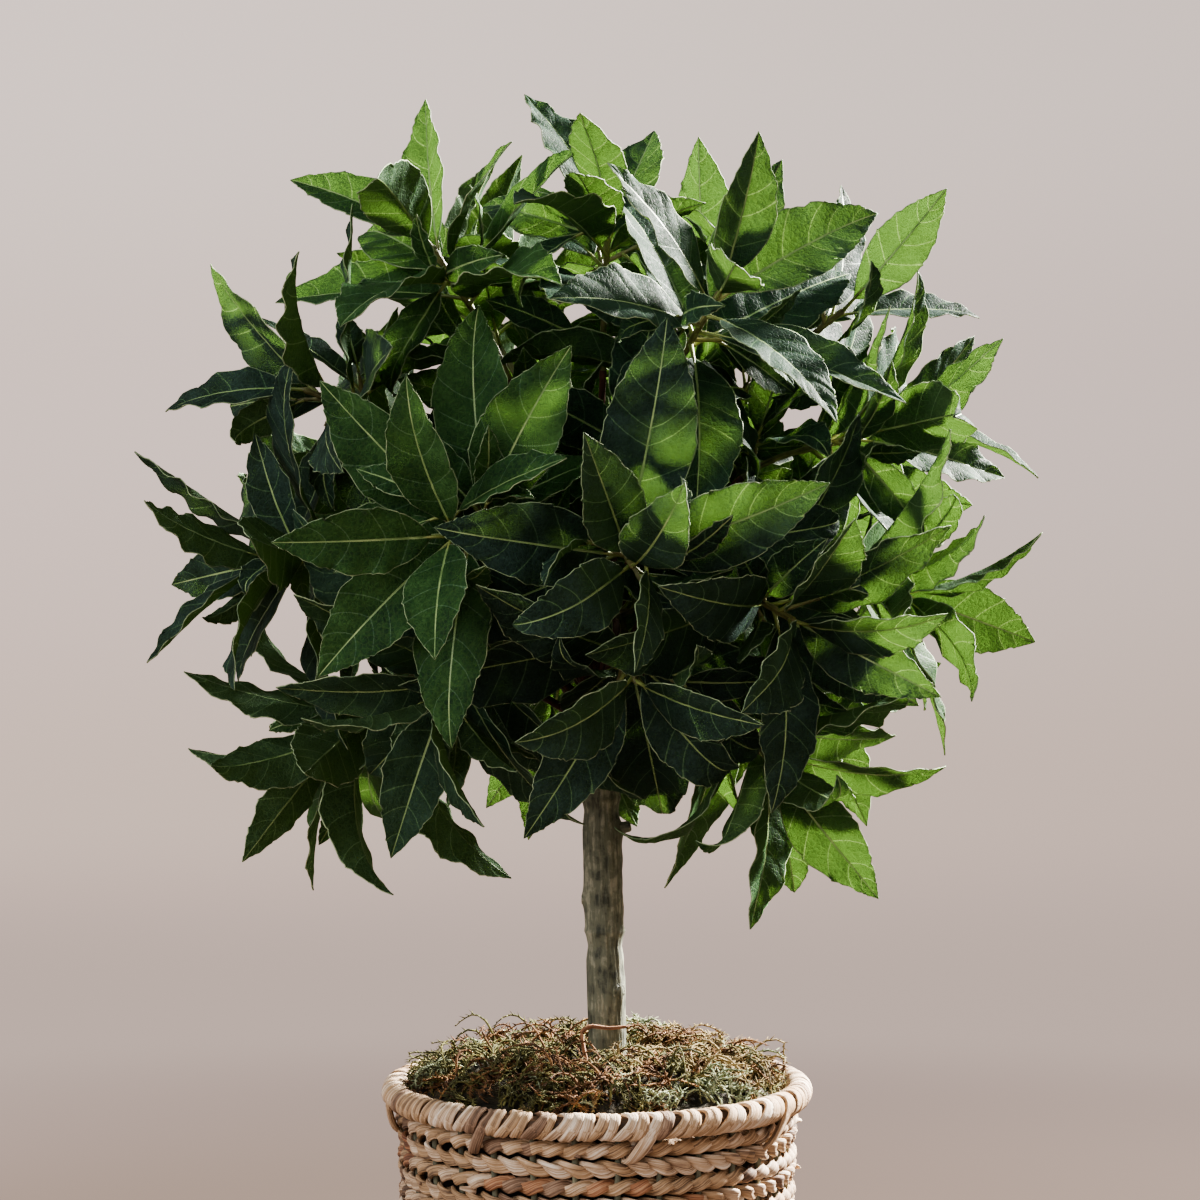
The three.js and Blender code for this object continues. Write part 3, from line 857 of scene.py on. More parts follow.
def grow(new_twigs, limbs, all_twigs, room=LEAF_ROOM):
    """Every twig gets its first leaf before any gets its second. Both sides of a leaf keep room free."""
    for rank in range(max(twig.ranks for twig in new_twigs)):
        for twig in new_twigs:
            if rank >= twig.ranks:
                continue
            others = [path for other, path in all_twigs if other.spray != twig.spray]
            others += [leaf.whole for leaf in placed_leaves if leaf.twig.spray != twig.spray]
            own = limbs + [leaf.blade for leaf in placed_leaves if leaf.twig.spray == twig.spray]
            for turn_by, splay_by in TRIES:
                leaf = leaf_on(twig, rank, turn_by, splay_by)
                lifts = (-room, 0, room)
                blade = leaf_shell(leaf, 1, lifts, LEAF_SPREAD)
                if any(blade.overlap(shape) for shape in own):
                    continue
                whole = leaf_shell(leaf, 0, lifts, LEAF_SPREAD)
                if any(whole.overlap(shape) for shape in others):
                    continue
                leaf.blade = leaf_shell(leaf, 1, (0,), 1)
                leaf.whole = leaf_shell(leaf, 0, (0,), 1)
                placed_leaves.append(leaf)
                break


leader_ends = np.array([LEADER_FOOT - 8, TRUNK_HEIGHT])
leader_path = np.stack([TRUNK_STANDS + trunk_lean(leader_ends), leader_ends * 0, GROUND + leader_ends], 1)
limb_shells = [limb_shell(at(np.linspace(0, 1, 8)), BOUGH_RADII[0] + LEAF_ROOM) for at, _ in curves]
limb_shells.append(limb_shell(leader_path, LEADER_RADII[0] + 2 + LEAF_ROOM))
twig_shells = [(twig, limb_shell(twig_path(twig), BOUGH_RADII[1] + LEAF_ROOM)) for twig in twigs]
grow(twigs, limb_shells, twig_shells)
print("large leaves:", len(placed_leaves), "packed: 216")

# %% [markdown]
# ## Finer twigs
# Up close a spray isn't one twig: it carries short side shoots with small young leaves, and so does the
# bough that bears it, which fills the inside of the crown. They grow by the same rule at a smaller size, in
# whatever room the large leaves left.

# %% Side shoots
SHOOT_LENGTH = 17
SHOOT_RADII = (0.9, 0.6)
SHOOT_SPLAY = (48, 66)  # degrees off the stem that bears it
SHOOT_OPENING = 62
SHOOT_SPAN = (0.4, 1.0)
SHOOT_LEAVES = 5
SHOOTS_ON_TWIG = 3
TWIG_SHOOTS_AT = (0.12, 0.8)
TWIG_YOUNG_LENGTHS = (54, 30)
SHOOTS_ON_BOUGH = 3
BOUGH_SHOOTS_AT = (0.45, 0.47)  # the foot of the first, and a point beyond it
BOUGH_SHOOTS_STEP = 0.2
BOUGH_YOUNG_LENGTHS = (66, 40)
SHOOT_ROOM = 1.0


def side_shoot(twig, foot, way, number, sizes):
    """A short twig that leaves its stem at foot, turned a golden turn from the one below it."""
    draw = chance(twig.seed * 7 + number * 31)
    turn = radians(twig.first + 60 + number * GOLDEN_TURN + draw(-20, 20))
    splay = radians(draw(*SHOOT_SPLAY))
    return SimpleNamespace(
        spray=twig.spray,
        turn=standing(standing(way) @ (sin(turn) * sin(splay), cos(turn) * sin(splay), cos(splay))),
        foot=foot,
        length=SHOOT_LENGTH * draw(0.8, 1.2),
        radii=SHOOT_RADII,
        span=SHOOT_SPAN,
        first=draw(0, 360),
        opening=SHOOT_OPENING,
        sizes=sizes,
        ranks=SHOOT_LEAVES,
        seed=twig.seed * 3 + number * 1777,
    )


shoots = []
for twig, (at, length) in zip(twigs, curves):
    for number in range(SHOOTS_ON_TWIG):
        share = mix(*TWIG_SHOOTS_AT, (number + 0.5) / SHOOTS_ON_TWIG)
        foot = twig.foot + twig.turn[:, 2] * twig.length * share
        shoots.append(side_shoot(twig, foot, twig.turn[:, 2], number, TWIG_YOUNG_LENGTHS))
    for number in range(SHOOTS_ON_BOUGH):
        ends = at(np.array(BOUGH_SHOOTS_AT) + number * BOUGH_SHOOTS_STEP)
        way = unit(ends[1] - ends[0])
        shoots.append(side_shoot(twig, ends[0], way, number + 5, BOUGH_YOUNG_LENGTHS))
grow(shoots, limb_shells, twig_shells, SHOOT_ROOM)
print("all leaves:", len(placed_leaves))

# %% [markdown]
# ## Curled leaves
# Most leaves are a little curled at the tip. About one large leaf in nine and one young leaf in four curls
# right over, so its pale back shows. That is what makes a cloth crown look handled and not stamped. Three
# large leaves that the photograph shows curled are given by their spray and rank.

# %% Curls
CURLED_ONE_IN = (9, 4)  # large leaves and young ones
CURLS_FROM = (0.4, 0.75)  # where on the leaf it starts
SLIGHT_CURL = (-14, 22)  # degrees
FULL_CURL = (60, 115)
CURLED_LEAVES = {(7, 9): (0.45, 105), (7, 0): (0.8, 50), (10, 7): (0.6, 80)}  # spray and rank: start, curl

for leaf in placed_leaves:
    draw = chance(leaf.twig.seed * 5 + leaf.rank * 13 + 3)
    leaf.seed = leaf.twig.seed * 5 + leaf.rank * 13
    leaf.is_young = leaf.twig.ranks == SHOOT_LEAVES
    leaf.curl_from = draw(*CURLS_FROM)
    leaf.curl_by = radians(draw(*SLIGHT_CURL))
    if draw(0, CURLED_ONE_IN[leaf.is_young]) < 1 and (leaf.rank > 1 or leaf.is_young):
        leaf.curl_by = radians(draw(*FULL_CURL))
    if not leaf.is_young and (leaf.twig.spray + 1, leaf.rank) in CURLED_LEAVES:
        leaf.curl_from, turned = CURLED_LEAVES[leaf.twig.spray + 1, leaf.rank]
        leaf.curl_by = radians(turned)
print("curled over:", sum(leaf.curl_by > 1 for leaf in placed_leaves))

# %% [markdown]
# ## The blade of a leaf
# The rows of the blade's grid follow its side veins, which sweep towards the tip, so each vein is a narrow
# row of faces, and the midrib a narrow column. Between veins the cloth is puffed up a little, the margin is
# wavy and scalloped, and the cut edge is a strip of its own. The blade is closed: a front, a back and the
# thin edge between them.

# %% Outline and rows
VEIN_SPACING = 11.5
VEIN_STRAYS = 0.22  # of the spacing
VEIN_WIDTH = 0.26
PANEL = (0.22, 0.42, 0.62, 0.82)  # where the rows between two veins lie
YOUNG_PANEL = (0.28, 0.5, 0.75)
VISIBLE_WIDTH = 0.93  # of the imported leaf's width, whose corners stand out
LEAST_HALF = (0.7, 0.12)  # half-width at the foot of the blade and at its tip


def blade_half_width(leaf, share):
    blade = np.clip((share - STALK_SHARE) / (1 - STALK_SHARE), 0, 1)
    outline = leaf.width * VISIBLE_WIDTH / 2 * np.sin(pi * blade**0.82) ** 0.92
    return np.maximum(outline, mix(*LEAST_HALF, blade))


def blade_rows(leaf):
    """Where the rows lie on the midrib, how puffed each is, and whether a vein starts there."""
    veins = max(4, round(leaf.length / VEIN_SPACING))
    gap = VEIN_WIDTH / leaf.length
    draw = chance(leaf.seed + 9)
    ends = [0] + [(vein + draw(-VEIN_STRAYS, VEIN_STRAYS)) / veins for vein in range(1, veins)] + [1]
    panels = YOUNG_PANEL if leaf.is_young else PANEL
    rows = [(0.0, 0, False)]
    for low, high in zip(ends, ends[1:]):
        if low:
            rows += [(low - gap, 0, True), (low + gap, 0, False)]
        rows += [(mix(low, high, panel), sin(pi * panel), False) for panel in panels]
    rows.append((1.0, 0, False))
    places, puffs, starts = (np.array(column) for column in zip(*rows))
    return places, puffs.astype(float), starts


print("rows of the first leaf:", len(blade_rows(placed_leaves[0])[0]))

# %% Relief of the cloth
SCALLOP = 0.95
SCALLOP_WAVES = (1.1, 2.0, 2.7)  # a row, as angles
WAVES = (3.2, 5.6)  # along a margin
WAVE_HEIGHTS = (0.01, 0.028)  # of the leaf's length
BUCKLE = 0.3
BUCKLE_WAVES = (0.9, 1.7)
WAVES_KEPT = 0.8  # where the blade is widest, and less where it is narrow
PUFF = 0.36


def scallops(leaf, blade, across, edge):
    """How far the cut edge stands out from a plain curve, on either side."""
    fade = np.clip(4 * blade * (1 - blade), 0, 1)
    steps = np.arange(len(blade))
    out = [SCALLOP * fade * ripple(steps, leaf.seed + side, SCALLOP_WAVES) for side in (1, 2)]
    on_edge = np.abs(across) > edge[:, None] - 1e-6
    return np.sign(across) * np.where(across < 0, out[0][:, None], out[1][:, None]) * on_edge


def cloth_rise(leaf, share, across, puff, half, draw):
    """How far the cloth stands off the plain blade: wavy margins, a buckle, and puffed panels."""
    off = np.abs(across)
    waves = draw(*WAVES)
    tall = leaf.length * draw(*WAVE_HEIGHTS)
    start = np.where(across < 0, draw(0, 2 * pi), draw(0, 2 * pi))
    rise = tall * off**2 * np.sin(2 * pi * waves * share + start)
    buckle = ripple(np.arange(len(half)), leaf.seed + 4, BUCKLE_WAVES)[:, None]
    rise += BUCKLE * off**2 * np.where(across < 0, 1, -1) * buckle
    rise *= WAVES_KEPT * ((half / half.max()) ** 1.4)[:, None]
    return rise + PUFF * puff[:, None] * np.minimum(1, off * 5) * (1 - off**3)


print("the longest leaf's waves:", round(LEAF_LENGTHS[0] * WAVE_HEIGHTS[1], 1), "mm high at most")

# %% Columns and margin
EDGE_WIDTH = 0.26
EDGE_MOST = 0.25  # of half the width, where the blade is narrow
RIB_HALF = (0.5, 0.16)  # at the foot of the blade and at its tip
RIB_MOST = 0.4
INNER = np.array([0, 0.24, 0.5, 0.77, 1])  # where the columns lie between midrib and edge
YOUNG_INNER = np.array([0, 0.3, 0.68, 1])


def blade_columns(leaf, blade, half):
    """Where the points of each row lie from one margin to the other, and where rib and edge begin."""
    rib = np.minimum(RIB_MOST, mix(*RIB_HALF, blade) / half)
    edge = 1 - np.minimum(EDGE_MOST, EDGE_WIDTH / half)
    inner = rib[:, None] + (edge - rib)[:, None] * (YOUNG_INNER if leaf.is_young else INNER)
    right = np.concatenate([inner, np.ones((len(blade), 1))], 1)
    return np.concatenate([-right[:, ::-1], right], 1), rib, edge


def margin_ring(rows, columns):
    """The numbers of the points along the margin of a grid, in order."""
    size = rows * columns
    top = np.arange(columns - 1)
    right = np.arange(rows - 1) * columns + columns - 1
    left = (rows - 1 - np.arange(rows - 1)) * columns
    return np.concatenate([top, right, size - 1 - top, left])


print("margin of a grid of 3 by 3 points:", margin_ring(3, 3).tolist())

# %% Blade mesh
CLOTH_THICK = 0.34
VEIN_SWEEP = (0.1, 0.18)  # of the leaf's length
RIB_DIP = 0.16  # into the front
VEIN_DIP = 0.1
RIB_RIDGE = 0.45  # out of the back, at the foot
VEIN_RIDGE = 0.14


def leaf_blade(heap, leaf):
    blade, puff, vein = blade_rows(leaf)
    share = mix(STALK_SHARE, 1, blade)
    half = blade_half_width(leaf, share)
    across, rib, edge = blade_columns(leaf, blade, half)
    rows, columns = across.shape
    off = np.abs(across)
    draw = chance(leaf.seed)
    sweep = np.where(across < 0, draw(*VEIN_SWEEP), draw(*VEIN_SWEEP)) * (4 * blade * (1 - blade))[:, None]
    share = np.minimum(share[:, None] + sweep * off**1.3, 1)
    width = across * blade_half_width(leaf, share) + scallops(leaf, blade, across, edge)
    rise = cloth_rise(leaf, share, across, puff, half, draw)
    at_rib = off <= rib[:, None] + 1e-6
    at_vein = (vein | np.roll(vein, 1))[:, None]
    front_dip = RIB_DIP * at_rib + VEIN_DIP * at_vein
    back_ridge = RIB_RIDGE * at_rib * (1 - 0.6 * blade[:, None]) + VEIN_RIDGE * at_vein
    front = leaf_points(leaf, share, width, rise + CLOTH_THICK / 2 - front_dip)
    back = leaf_points(leaf, share, width, rise - CLOTH_THICK / 2 - back_ridge)
    lay = np.stack([share * leaf.length + leaf.seed % 977, width, rise * 0], 2)
    faces = grid_faces(rows, columns)
    look = np.full((rows - 1, columns - 1), FRONT)
    look[vein[:-1]] = VEIN
    look[:, columns // 2 - 1] = RIB
    look[:, [0, -1]] = EDGE
    under = np.where(look == FRONT, BACK, look)
    ring = margin_ring(rows, columns)
    onward = np.roll(ring, -1)
    size = rows * columns
    heap.add(faces, look.ravel(), np.stack([front, back]), np.stack([lay, lay]))
    heap.add(faces[:, ::-1] + size, under.ravel())
    heap.add(np.stack([ring, ring + size, onward + size, onward], 1), EDGE)
    heap.close()


trial = Heap()
leaf_blade(trial, placed_leaves[0])
print("faces of the first leaf's blade:", len(trial.faces))

# %% Stalks, and one piece for each spray
STALK_END = 0.2  # of the leaf's length, under the foot of the blade
STALK_RADII = ([0, 0.02, STALK_SHARE, STALK_END], [1.15, 0.95, 0.75, 0.4])  # of the longest leaf


def leaf_stalk(heap, leaf):
    """A round stalk from inside the twig to under the foot of the blade."""
    share = np.linspace(0, STALK_END, 7)
    path = leaf_points(leaf, share, share * 0, -0.3 * np.clip(share / STALK_SHARE - 1, 0, 1))
    radius = np.interp(share, *STALK_RADII) * (leaf.length / LEAF_LENGTHS[0]) ** 0.5
    tube(heap, path, radius, radius, 7, leaf.twig.turn @ leaf.face, STALK)


for number, twig in enumerate(twigs):
    heap = Heap()
    for leaf in placed_leaves:
        if leaf.twig.spray == number:
            leaf_blade(heap, leaf)
            leaf_stalk(heap, leaf)
    front = FRONTS[int(chance(number + 40)(0, 2.999))]
    looks = [front, leaf_back, leaf_vein, leaf_rib, leaf_edge, stalk_skin]
    spray = heap.piece(f"leaves_{number + 1:02d}", "leaves", looks)
    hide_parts(f"leaf_spray_{number + 1:02d}")

# %% [markdown]
# ## Boughs and twigs
# Each bough runs on into its twig as one stem that gets thinner, with a swollen ring where each leaf stalk
# leaves it and a bud at its end. The moulded bark is a slight unevenness of the tube. Reddish brown near the
# trunk turns to olive on the young wood, as on the real tree.

# %% Stems
STEM_STEP = 1.3
STEM_SIDES = 9
RING_SWELLS = 0.32
RING_REACH = 0.9
BUD_LENGTH = 4
BUD_SWELLS = 0.35
BUD_MIDDLE = 2.6  # from the stem's end
BUD_REACH = 1.2
SWAY = 0.35


def stem(heap, path, radius, rings, seed, looks):
    """One stem with swollen rings at some distances along it, and a bud at its end."""
    run = distances(path)
    size = np.interp(run, [0, run[-1]], radius)
    for ring in rings:
        size = size + RING_SWELLS * hump(run - ring, RING_REACH)
    left = run[-1] - run
    bud = np.sqrt(np.clip(left / BUD_LENGTH, 0.02, 1))
    bud = bud * (1 + BUD_SWELLS * hump(left - BUD_MIDDLE, BUD_REACH))
    turn = 2 * pi * np.arange(STEM_SIDES) / STEM_SIDES
    relief = 1 + 0.05 * ripple(turn * 3 + run[:, None] * 0.5, seed, (1, 2))
    relief = relief + 0.04 * ripple(run, seed, (1, 2.3))[:, None]
    tube(heap, path, size * bud, size * bud, STEM_SIDES, (0.3, 0.2, 0.9), looks, relief=relief)


trial = Heap()
stem(trial, twig_path(twigs[0], 20), twigs[0].radii, [], 1, 0)
print("faces of a short stem:", len(trial.faces))

# %% All the stems
YOUNG_STEM_STEPS = 14
BARK_CHANGES = 0.8  # the share of a bough where its colour turns
SCARS = (0.3, 0.55, 0.8)  # where a bough has rings without a leaf

stems = Heap()
for number, (twig, (at, length)) in enumerate(zip(twigs, curves)):
    steps = int(length / STEM_STEP)
    beyond = twig_path(twig, int(TWIG_LENGTH / STEM_STEP))
    path = np.concatenate([at(np.linspace(0, 1, steps)), beyond[1:]])
    sway = SWAY * ripple(np.arange(len(path)) * 0.18, number + 5, (1, 1.7))
    sway[-len(beyond) :] = 0
    path = path + sway[:, None] * (0.7, -0.7, 0.1)
    own = [leaf for leaf in placed_leaves if leaf.twig is twig]
    rings = [length + GAP + leaf.base[2] for leaf in own] + [length * share for share in SCARS]
    looks = (np.arange(len(path) - 1) > steps * BARK_CHANGES).astype(int)
    stem(stems, path, (BOUGH_RADII[0], TWIG_TIP_RADIUS), rings, number * 17 + 3, looks)
for number, shoot in enumerate(shoots):
    own = [leaf for leaf in placed_leaves if leaf.twig is shoot]
    if len(own) > 0:
        rings = [leaf.base[2] for leaf in own]
        stem(stems, twig_path(shoot, YOUNG_STEM_STEPS), SHOOT_RADII, rings, number * 19 + 7, 1)
boughs = stems.piece("boughs_and_twigs", "bough_stem", [bough_skin, twig_skin])
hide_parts(*[f"bough_{number + 1:02d}" for number in range(len(BOUGHS))])

# %% [markdown]
# ## The trunk
# The trunk is a stem in three lengths with a pinched joint between each, moulded to look like dry wood with
# long shallow ridges. A point of the trunk is a turn and a height, and the relief is worked out from those
# two: ridges that wander as they climb, lips at the joints, and a collar round each knot. Above the last
# joint a slim leader is twisted from the feet of the boughs.

# %% Bark
TRUNK_PROFILE = np.array(  # radius and height
    [
        (8.5, 0), (7.6, 12), (7.5, 57), (6.7, 62.5), (7.7, 68), (7.8, 109), (6.7, 116.5), (7.5, 121),
        (7.6, 142), (7.2, 145.5), (5.0, 148.5), (4.2, 160), (3.4, 185),
    ]
)
TRUNK_SIDES = 80
TRUNK_ROWS = 210
RIDGE_DEPTH = 0.24
PATCH_DEPTH = 0.45
JOINT_LIPS = (68.5, 121.5)
LIP_RISES = 0.45
LIP_REACH = 1.3
KNOTS = [(109, 78, 2.0, 11.5), (45, 42, 3.2, 8.3), (81, 268, 2.0, 8.8)]  # height, heading, radius, reach
COLLAR_RISES = 1.1
COLLAR_REACH = 1.35  # of the knot's radius
TWISTED_STRANDS = 7
STRAND_DEPTH = 0.5

height = np.linspace(0, TRUNK_HEIGHT, TRUNK_ROWS)[:, None]
turn = (2 * pi * np.arange(TRUNK_SIDES) / TRUNK_SIDES)[None, :]
wander = 0.12 * np.sin(height / 9) + 0.2 * np.sin(height / 31 + 1)
ridges = ripple(turn + wander, 31, (7, 11, 17)) + 0.8 * ripple(turn - wander * 0.7, 53, (13, 23, 29))
patch = ripple(height * 0.21 + 2 * np.sin(turn), 71, (1, 1.9, 3.1)) * ripple(turn, 83, (2, 3, 5))
relief = np.where(height < LEADER_FOOT - 1, RIDGE_DEPTH * ridges + PATCH_DEPTH * patch, 0)
for lip in JOINT_LIPS:
    raised = LIP_RISES * hump(height - lip, LIP_REACH)
    relief = relief + raised * (1 + 0.7 * ripple(turn, int(lip), (3, 5, 9)))
for knot_height, heading, size, _ in KNOTS:
    gap = (turn - radians(heading - 90) + pi) % (2 * pi) - pi
    distance = np.sqrt((gap * 7.6) ** 2 + ((height - knot_height) / 1.25) ** 2)
    relief = relief + COLLAR_RISES * hump(distance, size * COLLAR_REACH)
strands = STRAND_DEPTH * np.abs(np.cos(TWISTED_STRANDS / 2 * (turn - height * 0.09))) - STRAND_DEPTH / 2
relief = np.where(height > LEADER_FOOT, strands, relief)
print("bark relief:", round(float(relief.min()), 2), "to", round(float(relief.max()), 2), "mm")

# %% Trunk and knots
LAY_RADIUS = 7.5  # the trunk's, for the run of its bark
STUB_RUN = np.array([0.4, 0.8, 0.96, 1.0, 1.0, 0.97, 0.97, 1.0])  # of a knot's reach
STUB_WIDTHS = np.array([1.3, 1.05, 1.0, 0.82, 0.62, 0.55, 0.3, 0.12])  # of its radius
SNAG_RISES = 1.5  # the first knot is a snag that turns up

radius = np.interp(height, TRUNK_PROFILE[:, 1], TRUNK_PROFILE[:, 0]) + relief
path = np.stack([TRUNK_STANDS + trunk_lean(height[:, 0]), height[:, 0] * 0, GROUND + height[:, 0]], 1)
points = path[:, None] + np.stack([np.cos(turn) * radius, np.sin(turn) * radius, radius * 0], 2)
ring = LAY_RADIUS + height * 0
lay = np.stack([height + radius * 0, np.cos(turn) * ring, np.sin(turn) * ring], 2)
is_leader = (height[:-1, 0] > LEADER_FOOT).astype(int)
wood = Heap()
wood.skin(points, lay, np.repeat(is_leader, TRUNK_SIDES))
for number, (knot_height, heading, size, reach) in enumerate(KNOTS):
    foot = np.array([TRUNK_STANDS + trunk_lean(knot_height), 0, GROUND + knot_height])
    stub = foot + level(heading) * (STUB_RUN * reach)[:, None]
    if number == 0:
        stub = stub + np.array([0, 0, SNAG_RISES]) * (STUB_RUN**2)[:, None]
    stub = stub + level(heading) * (np.arange(len(stub)) * 0.02)[:, None]
    tube(wood, stub, STUB_WIDTHS * size, STUB_WIDTHS * size * 1.1, 16, (0, 0, 1), 0)
trunk = wood.piece("trunk_wood", "trunk_bark", [bark, bough_skin])
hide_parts("trunk")

# %% [markdown]
# ## The basket's wall
# The basket is twined: each row is two strands of grass that cross between every pair of canes, one passing
# in front while the other passes behind. The rows twist opposite ways by turns, which gives the wall its
# chevrons. A strand is a closed tube that swings out and in, up and down. Its thickness wanders and its
# tone changes where a new blade of grass was laid in, and here and there such an end sticks out.

# %% The wall's shape
WALL_FOOT_RADIUS = 75
WALL_TOP_RADIUS = 81
WALL_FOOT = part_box("weave_band_01")[0].z / MM
WALL_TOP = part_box("weave_band_10")[1].z / MM
BAND_COUNT = 10
BAND_HEIGHT = 14
BAND_PITCH = (WALL_TOP - WALL_FOOT - BAND_HEIGHT) / (BAND_COUNT - 1)
ROWS_IN_BAND = 2


def wall_radius(height):
    return mix(WALL_FOOT_RADIUS, WALL_TOP_RADIUS, np.clip(height / WALL_TOP, 0, 1))


def around(angle, radius, height):
    return np.stack([np.cos(angle) * radius, np.sin(angle) * radius, angle * 0 + height], -1)


print("bands of rows are", round(BAND_PITCH, 2), "mm apart")

# %% Twined strands
ROW_STEPS = 300
CROSSINGS = 30  # in a round of one strand
SWING_OUT = 1.9
SWING_UP = 1.15
STRAND_HALF = (2.5, 1.3)  # wide and thick
STRAND_MIDDLE = 3.9  # of a row, inward of the wall's face
STRAND_TILT = 0.65  # as an angle, to and fro as it swings
STRAND_SIDES = 10
STRAND_CREASES = np.where(np.arange(STRAND_SIDES) % 5 == 0, 0.66, 1.04)  # along both its flat faces
STRAND_TONES = (0.36, 0.74, 0.9)  # the shares where one tone of grass ends and the next begins
BLADE_STEPS = (9, 27)  # how long a blade of grass keeps its tone


def dealt(draw, steps, shares, shortest, longest):
    """Which tone each step of a strand has: stretches of one blade of grass after another."""
    dealt_tones = []
    while len(dealt_tones) < steps:
        pick = draw(0, 1)
        tone = sum(pick > share for share in shares)
        dealt_tones += [tone] * int(draw(shortest, longest))
    return np.array(dealt_tones[:steps])


def strand(heap, number, ply, height):
    draw = chance(number * 97 + ply * 41)
    angle = 2 * pi * np.arange(ROW_STEPS) / ROW_STEPS
    phase = CROSSINGS * angle * (-1) ** number + ply * pi
    swing = 1 + 0.22 * ripple(angle, number, (5, 9, 14))
    up = height + 0.55 * ripple(angle, number + 40, (3, 7, 11)) + SWING_UP * swing * np.sin(phase)
    radius = wall_radius(height) - STRAND_MIDDLE + SWING_OUT * swing * np.cos(phase)
    path = around(angle, radius, up)
    wide = STRAND_HALF[0] * (1 + 0.2 * ripple(angle, number * 3 + ply, (8, 19, 31)))
    thick = STRAND_HALF[1] * (1 + 0.16 * ripple(angle, number * 5 + ply, (11, 23, 37)))
    tilt = STRAND_TILT * np.sin(phase + 0.6) * (-1) ** number
    out = around(angle, np.cos(tilt), np.sin(tilt))
    looks = dealt(draw, ROW_STEPS, STRAND_TONES, *BLADE_STEPS)
    tube(heap, path, wide, thick, STRAND_SIDES, out, looks, True, STRAND_CREASES)


trial = Heap()
strand(trial, 1, 0, WALL_FOOT)
print("faces of one strand of grass:", len(trial.faces))

# %% Loose ends and rows
BLADE_ENDS = 6  # in a band
END_RUN = np.array([0, 0.3, 0.6, 0.85, 1.0])
END_LENGTHS = (5, 11)
END_SUNK = 3  # behind the wall's face, where it starts
END_CURVE = 80  # the radius of the curve it lies along
END_CLEARS = 3  # the band's top and bottom
END_STICKS_OUT = (2.5, 4.6)
END_RISES = (-4, 5)
END_HALF = (np.linspace(1.7, 0.5, len(END_RUN)), 0.5)  # wide, getting narrower, and thick


def blade_end(heap, draw, height):
    """A cut end of grass that sticks out of the wall."""
    angle = draw(0, 2 * pi)
    way = 1 if draw(0, 1) > 0.5 else -1
    turn = angle + way * END_RUN * draw(*END_LENGTHS) / END_CURVE
    radius = wall_radius(height) - END_SUNK + END_RUN * draw(*END_STICKS_OUT)
    path = around(turn, radius, height + END_RUN * draw(*END_RISES))
    tube(heap, path, *END_HALF, 6, around(turn, 1, 0), int(draw(0, 2.99)))


for band in range(BAND_COUNT):
    heap = Heap()
    foot = WALL_FOOT + band * BAND_PITCH
    for row in range(ROWS_IN_BAND):
        height = foot + BAND_HEIGHT * (row + 0.5) / ROWS_IN_BAND
        for ply in range(2):
            strand(heap, band * ROWS_IN_BAND + row + 1, ply, height)
    draw = chance(band + 60)
    for _ in range(BLADE_ENDS):
        blade_end(heap, draw, foot + draw(END_CLEARS, BAND_HEIGHT - END_CLEARS))
    rows = heap.piece(f"woven_rows_{band + 1:02d}", "basket_weave", GRASS)
    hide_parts(f"weave_band_{band + 1:02d}")

# %% [markdown]
# ## Canes and bottom
# Thirty canes stand between the strands and hold the wall up. The bottom is one long strand of grass, coiled
# from the middle outwards.

# %% Canes and coil
CANES = 30
RIM_HEIGHT = 154.7
BASE_THICK = 6
CANE_RADIUS = 1.2
COIL_PITCH = 5.2
COIL_START = 3
COIL_STEP = 5
COIL_INSIDE = 2.6  # of the wall's foot
COIL_TONES = (0.3, 0.75, 0.92)

frame_heap = Heap()
for number in range(CANES):
    draw = chance(number + 200)
    height = np.linspace(2, RIM_HEIGHT - 1, 24)
    angle = 2 * pi * number / CANES + 0.008 * ripple(height * 0.05, number, (1, 2))
    path = around(angle, wall_radius(height) - STRAND_MIDDLE, height)
    tube(frame_heap, path, CANE_RADIUS, CANE_RADIUS, 8, around(angle, 1, 0), len(GRASS))
coil_end = WALL_FOOT_RADIUS - COIL_INSIDE
turns = (coil_end - COIL_START) / COIL_PITCH
steps = int(pi * coil_end**2 / COIL_PITCH / COIL_STEP)
share = np.sqrt(np.linspace((COIL_START / coil_end) ** 2, 1, steps))
angle = 2 * pi * turns * share
path = around(angle, coil_end * share, BASE_THICK / 2)
lumps = 1 + 0.08 * ripple(np.arange(steps) * 0.4, 12, (1, 2.3))
looks = dealt(chance(300), steps - 1, COIL_TONES, 6, 20)
tube(frame_heap, path, COIL_PITCH / 2 * lumps, BASE_THICK / 2, 8, (0, 0, 1), looks)
canes = frame_heap.piece("canes_and_bottom", "basket_stakes", [*GRASS, cane])
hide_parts("basket_frame")

# %% [markdown]
# ## The wrapped rim
# The ends of the canes are bent over into a bundle, and flat strands are wound round it, all leaning the
# same way, with the bundle showing between them in a dark colour that is painted shade for the gaps. Here
# and there one reaches down over the first row, and that ties the rim to the wall.

# %% Rim
RIM_RADIUS = 80.5
RIM_WRAPS = 104
WRAP_RING = 4.15  # from the middle of the bundle to the middle of a strand
WRAP_HALF = (2.35, 1.25)
WRAP_LEAN = 3.2
WRAP_STRAYS = 0.18  # of the way to the next strand
WRAP_STEPS = 22
WRAP_CREASES = np.array([0.62, 1.0, 1.05, 1, 1.05, 0.9, 1.05, 1, 1.05, 1.0])
BUNDLE_RADIUS = 3.7
BUNDLE_STEPS = 200
TIE_EVERY = 13
TIE_FIRST = 4
TIE_DROP = 9.5
TIE_LEANS = 0.35  # of its drop


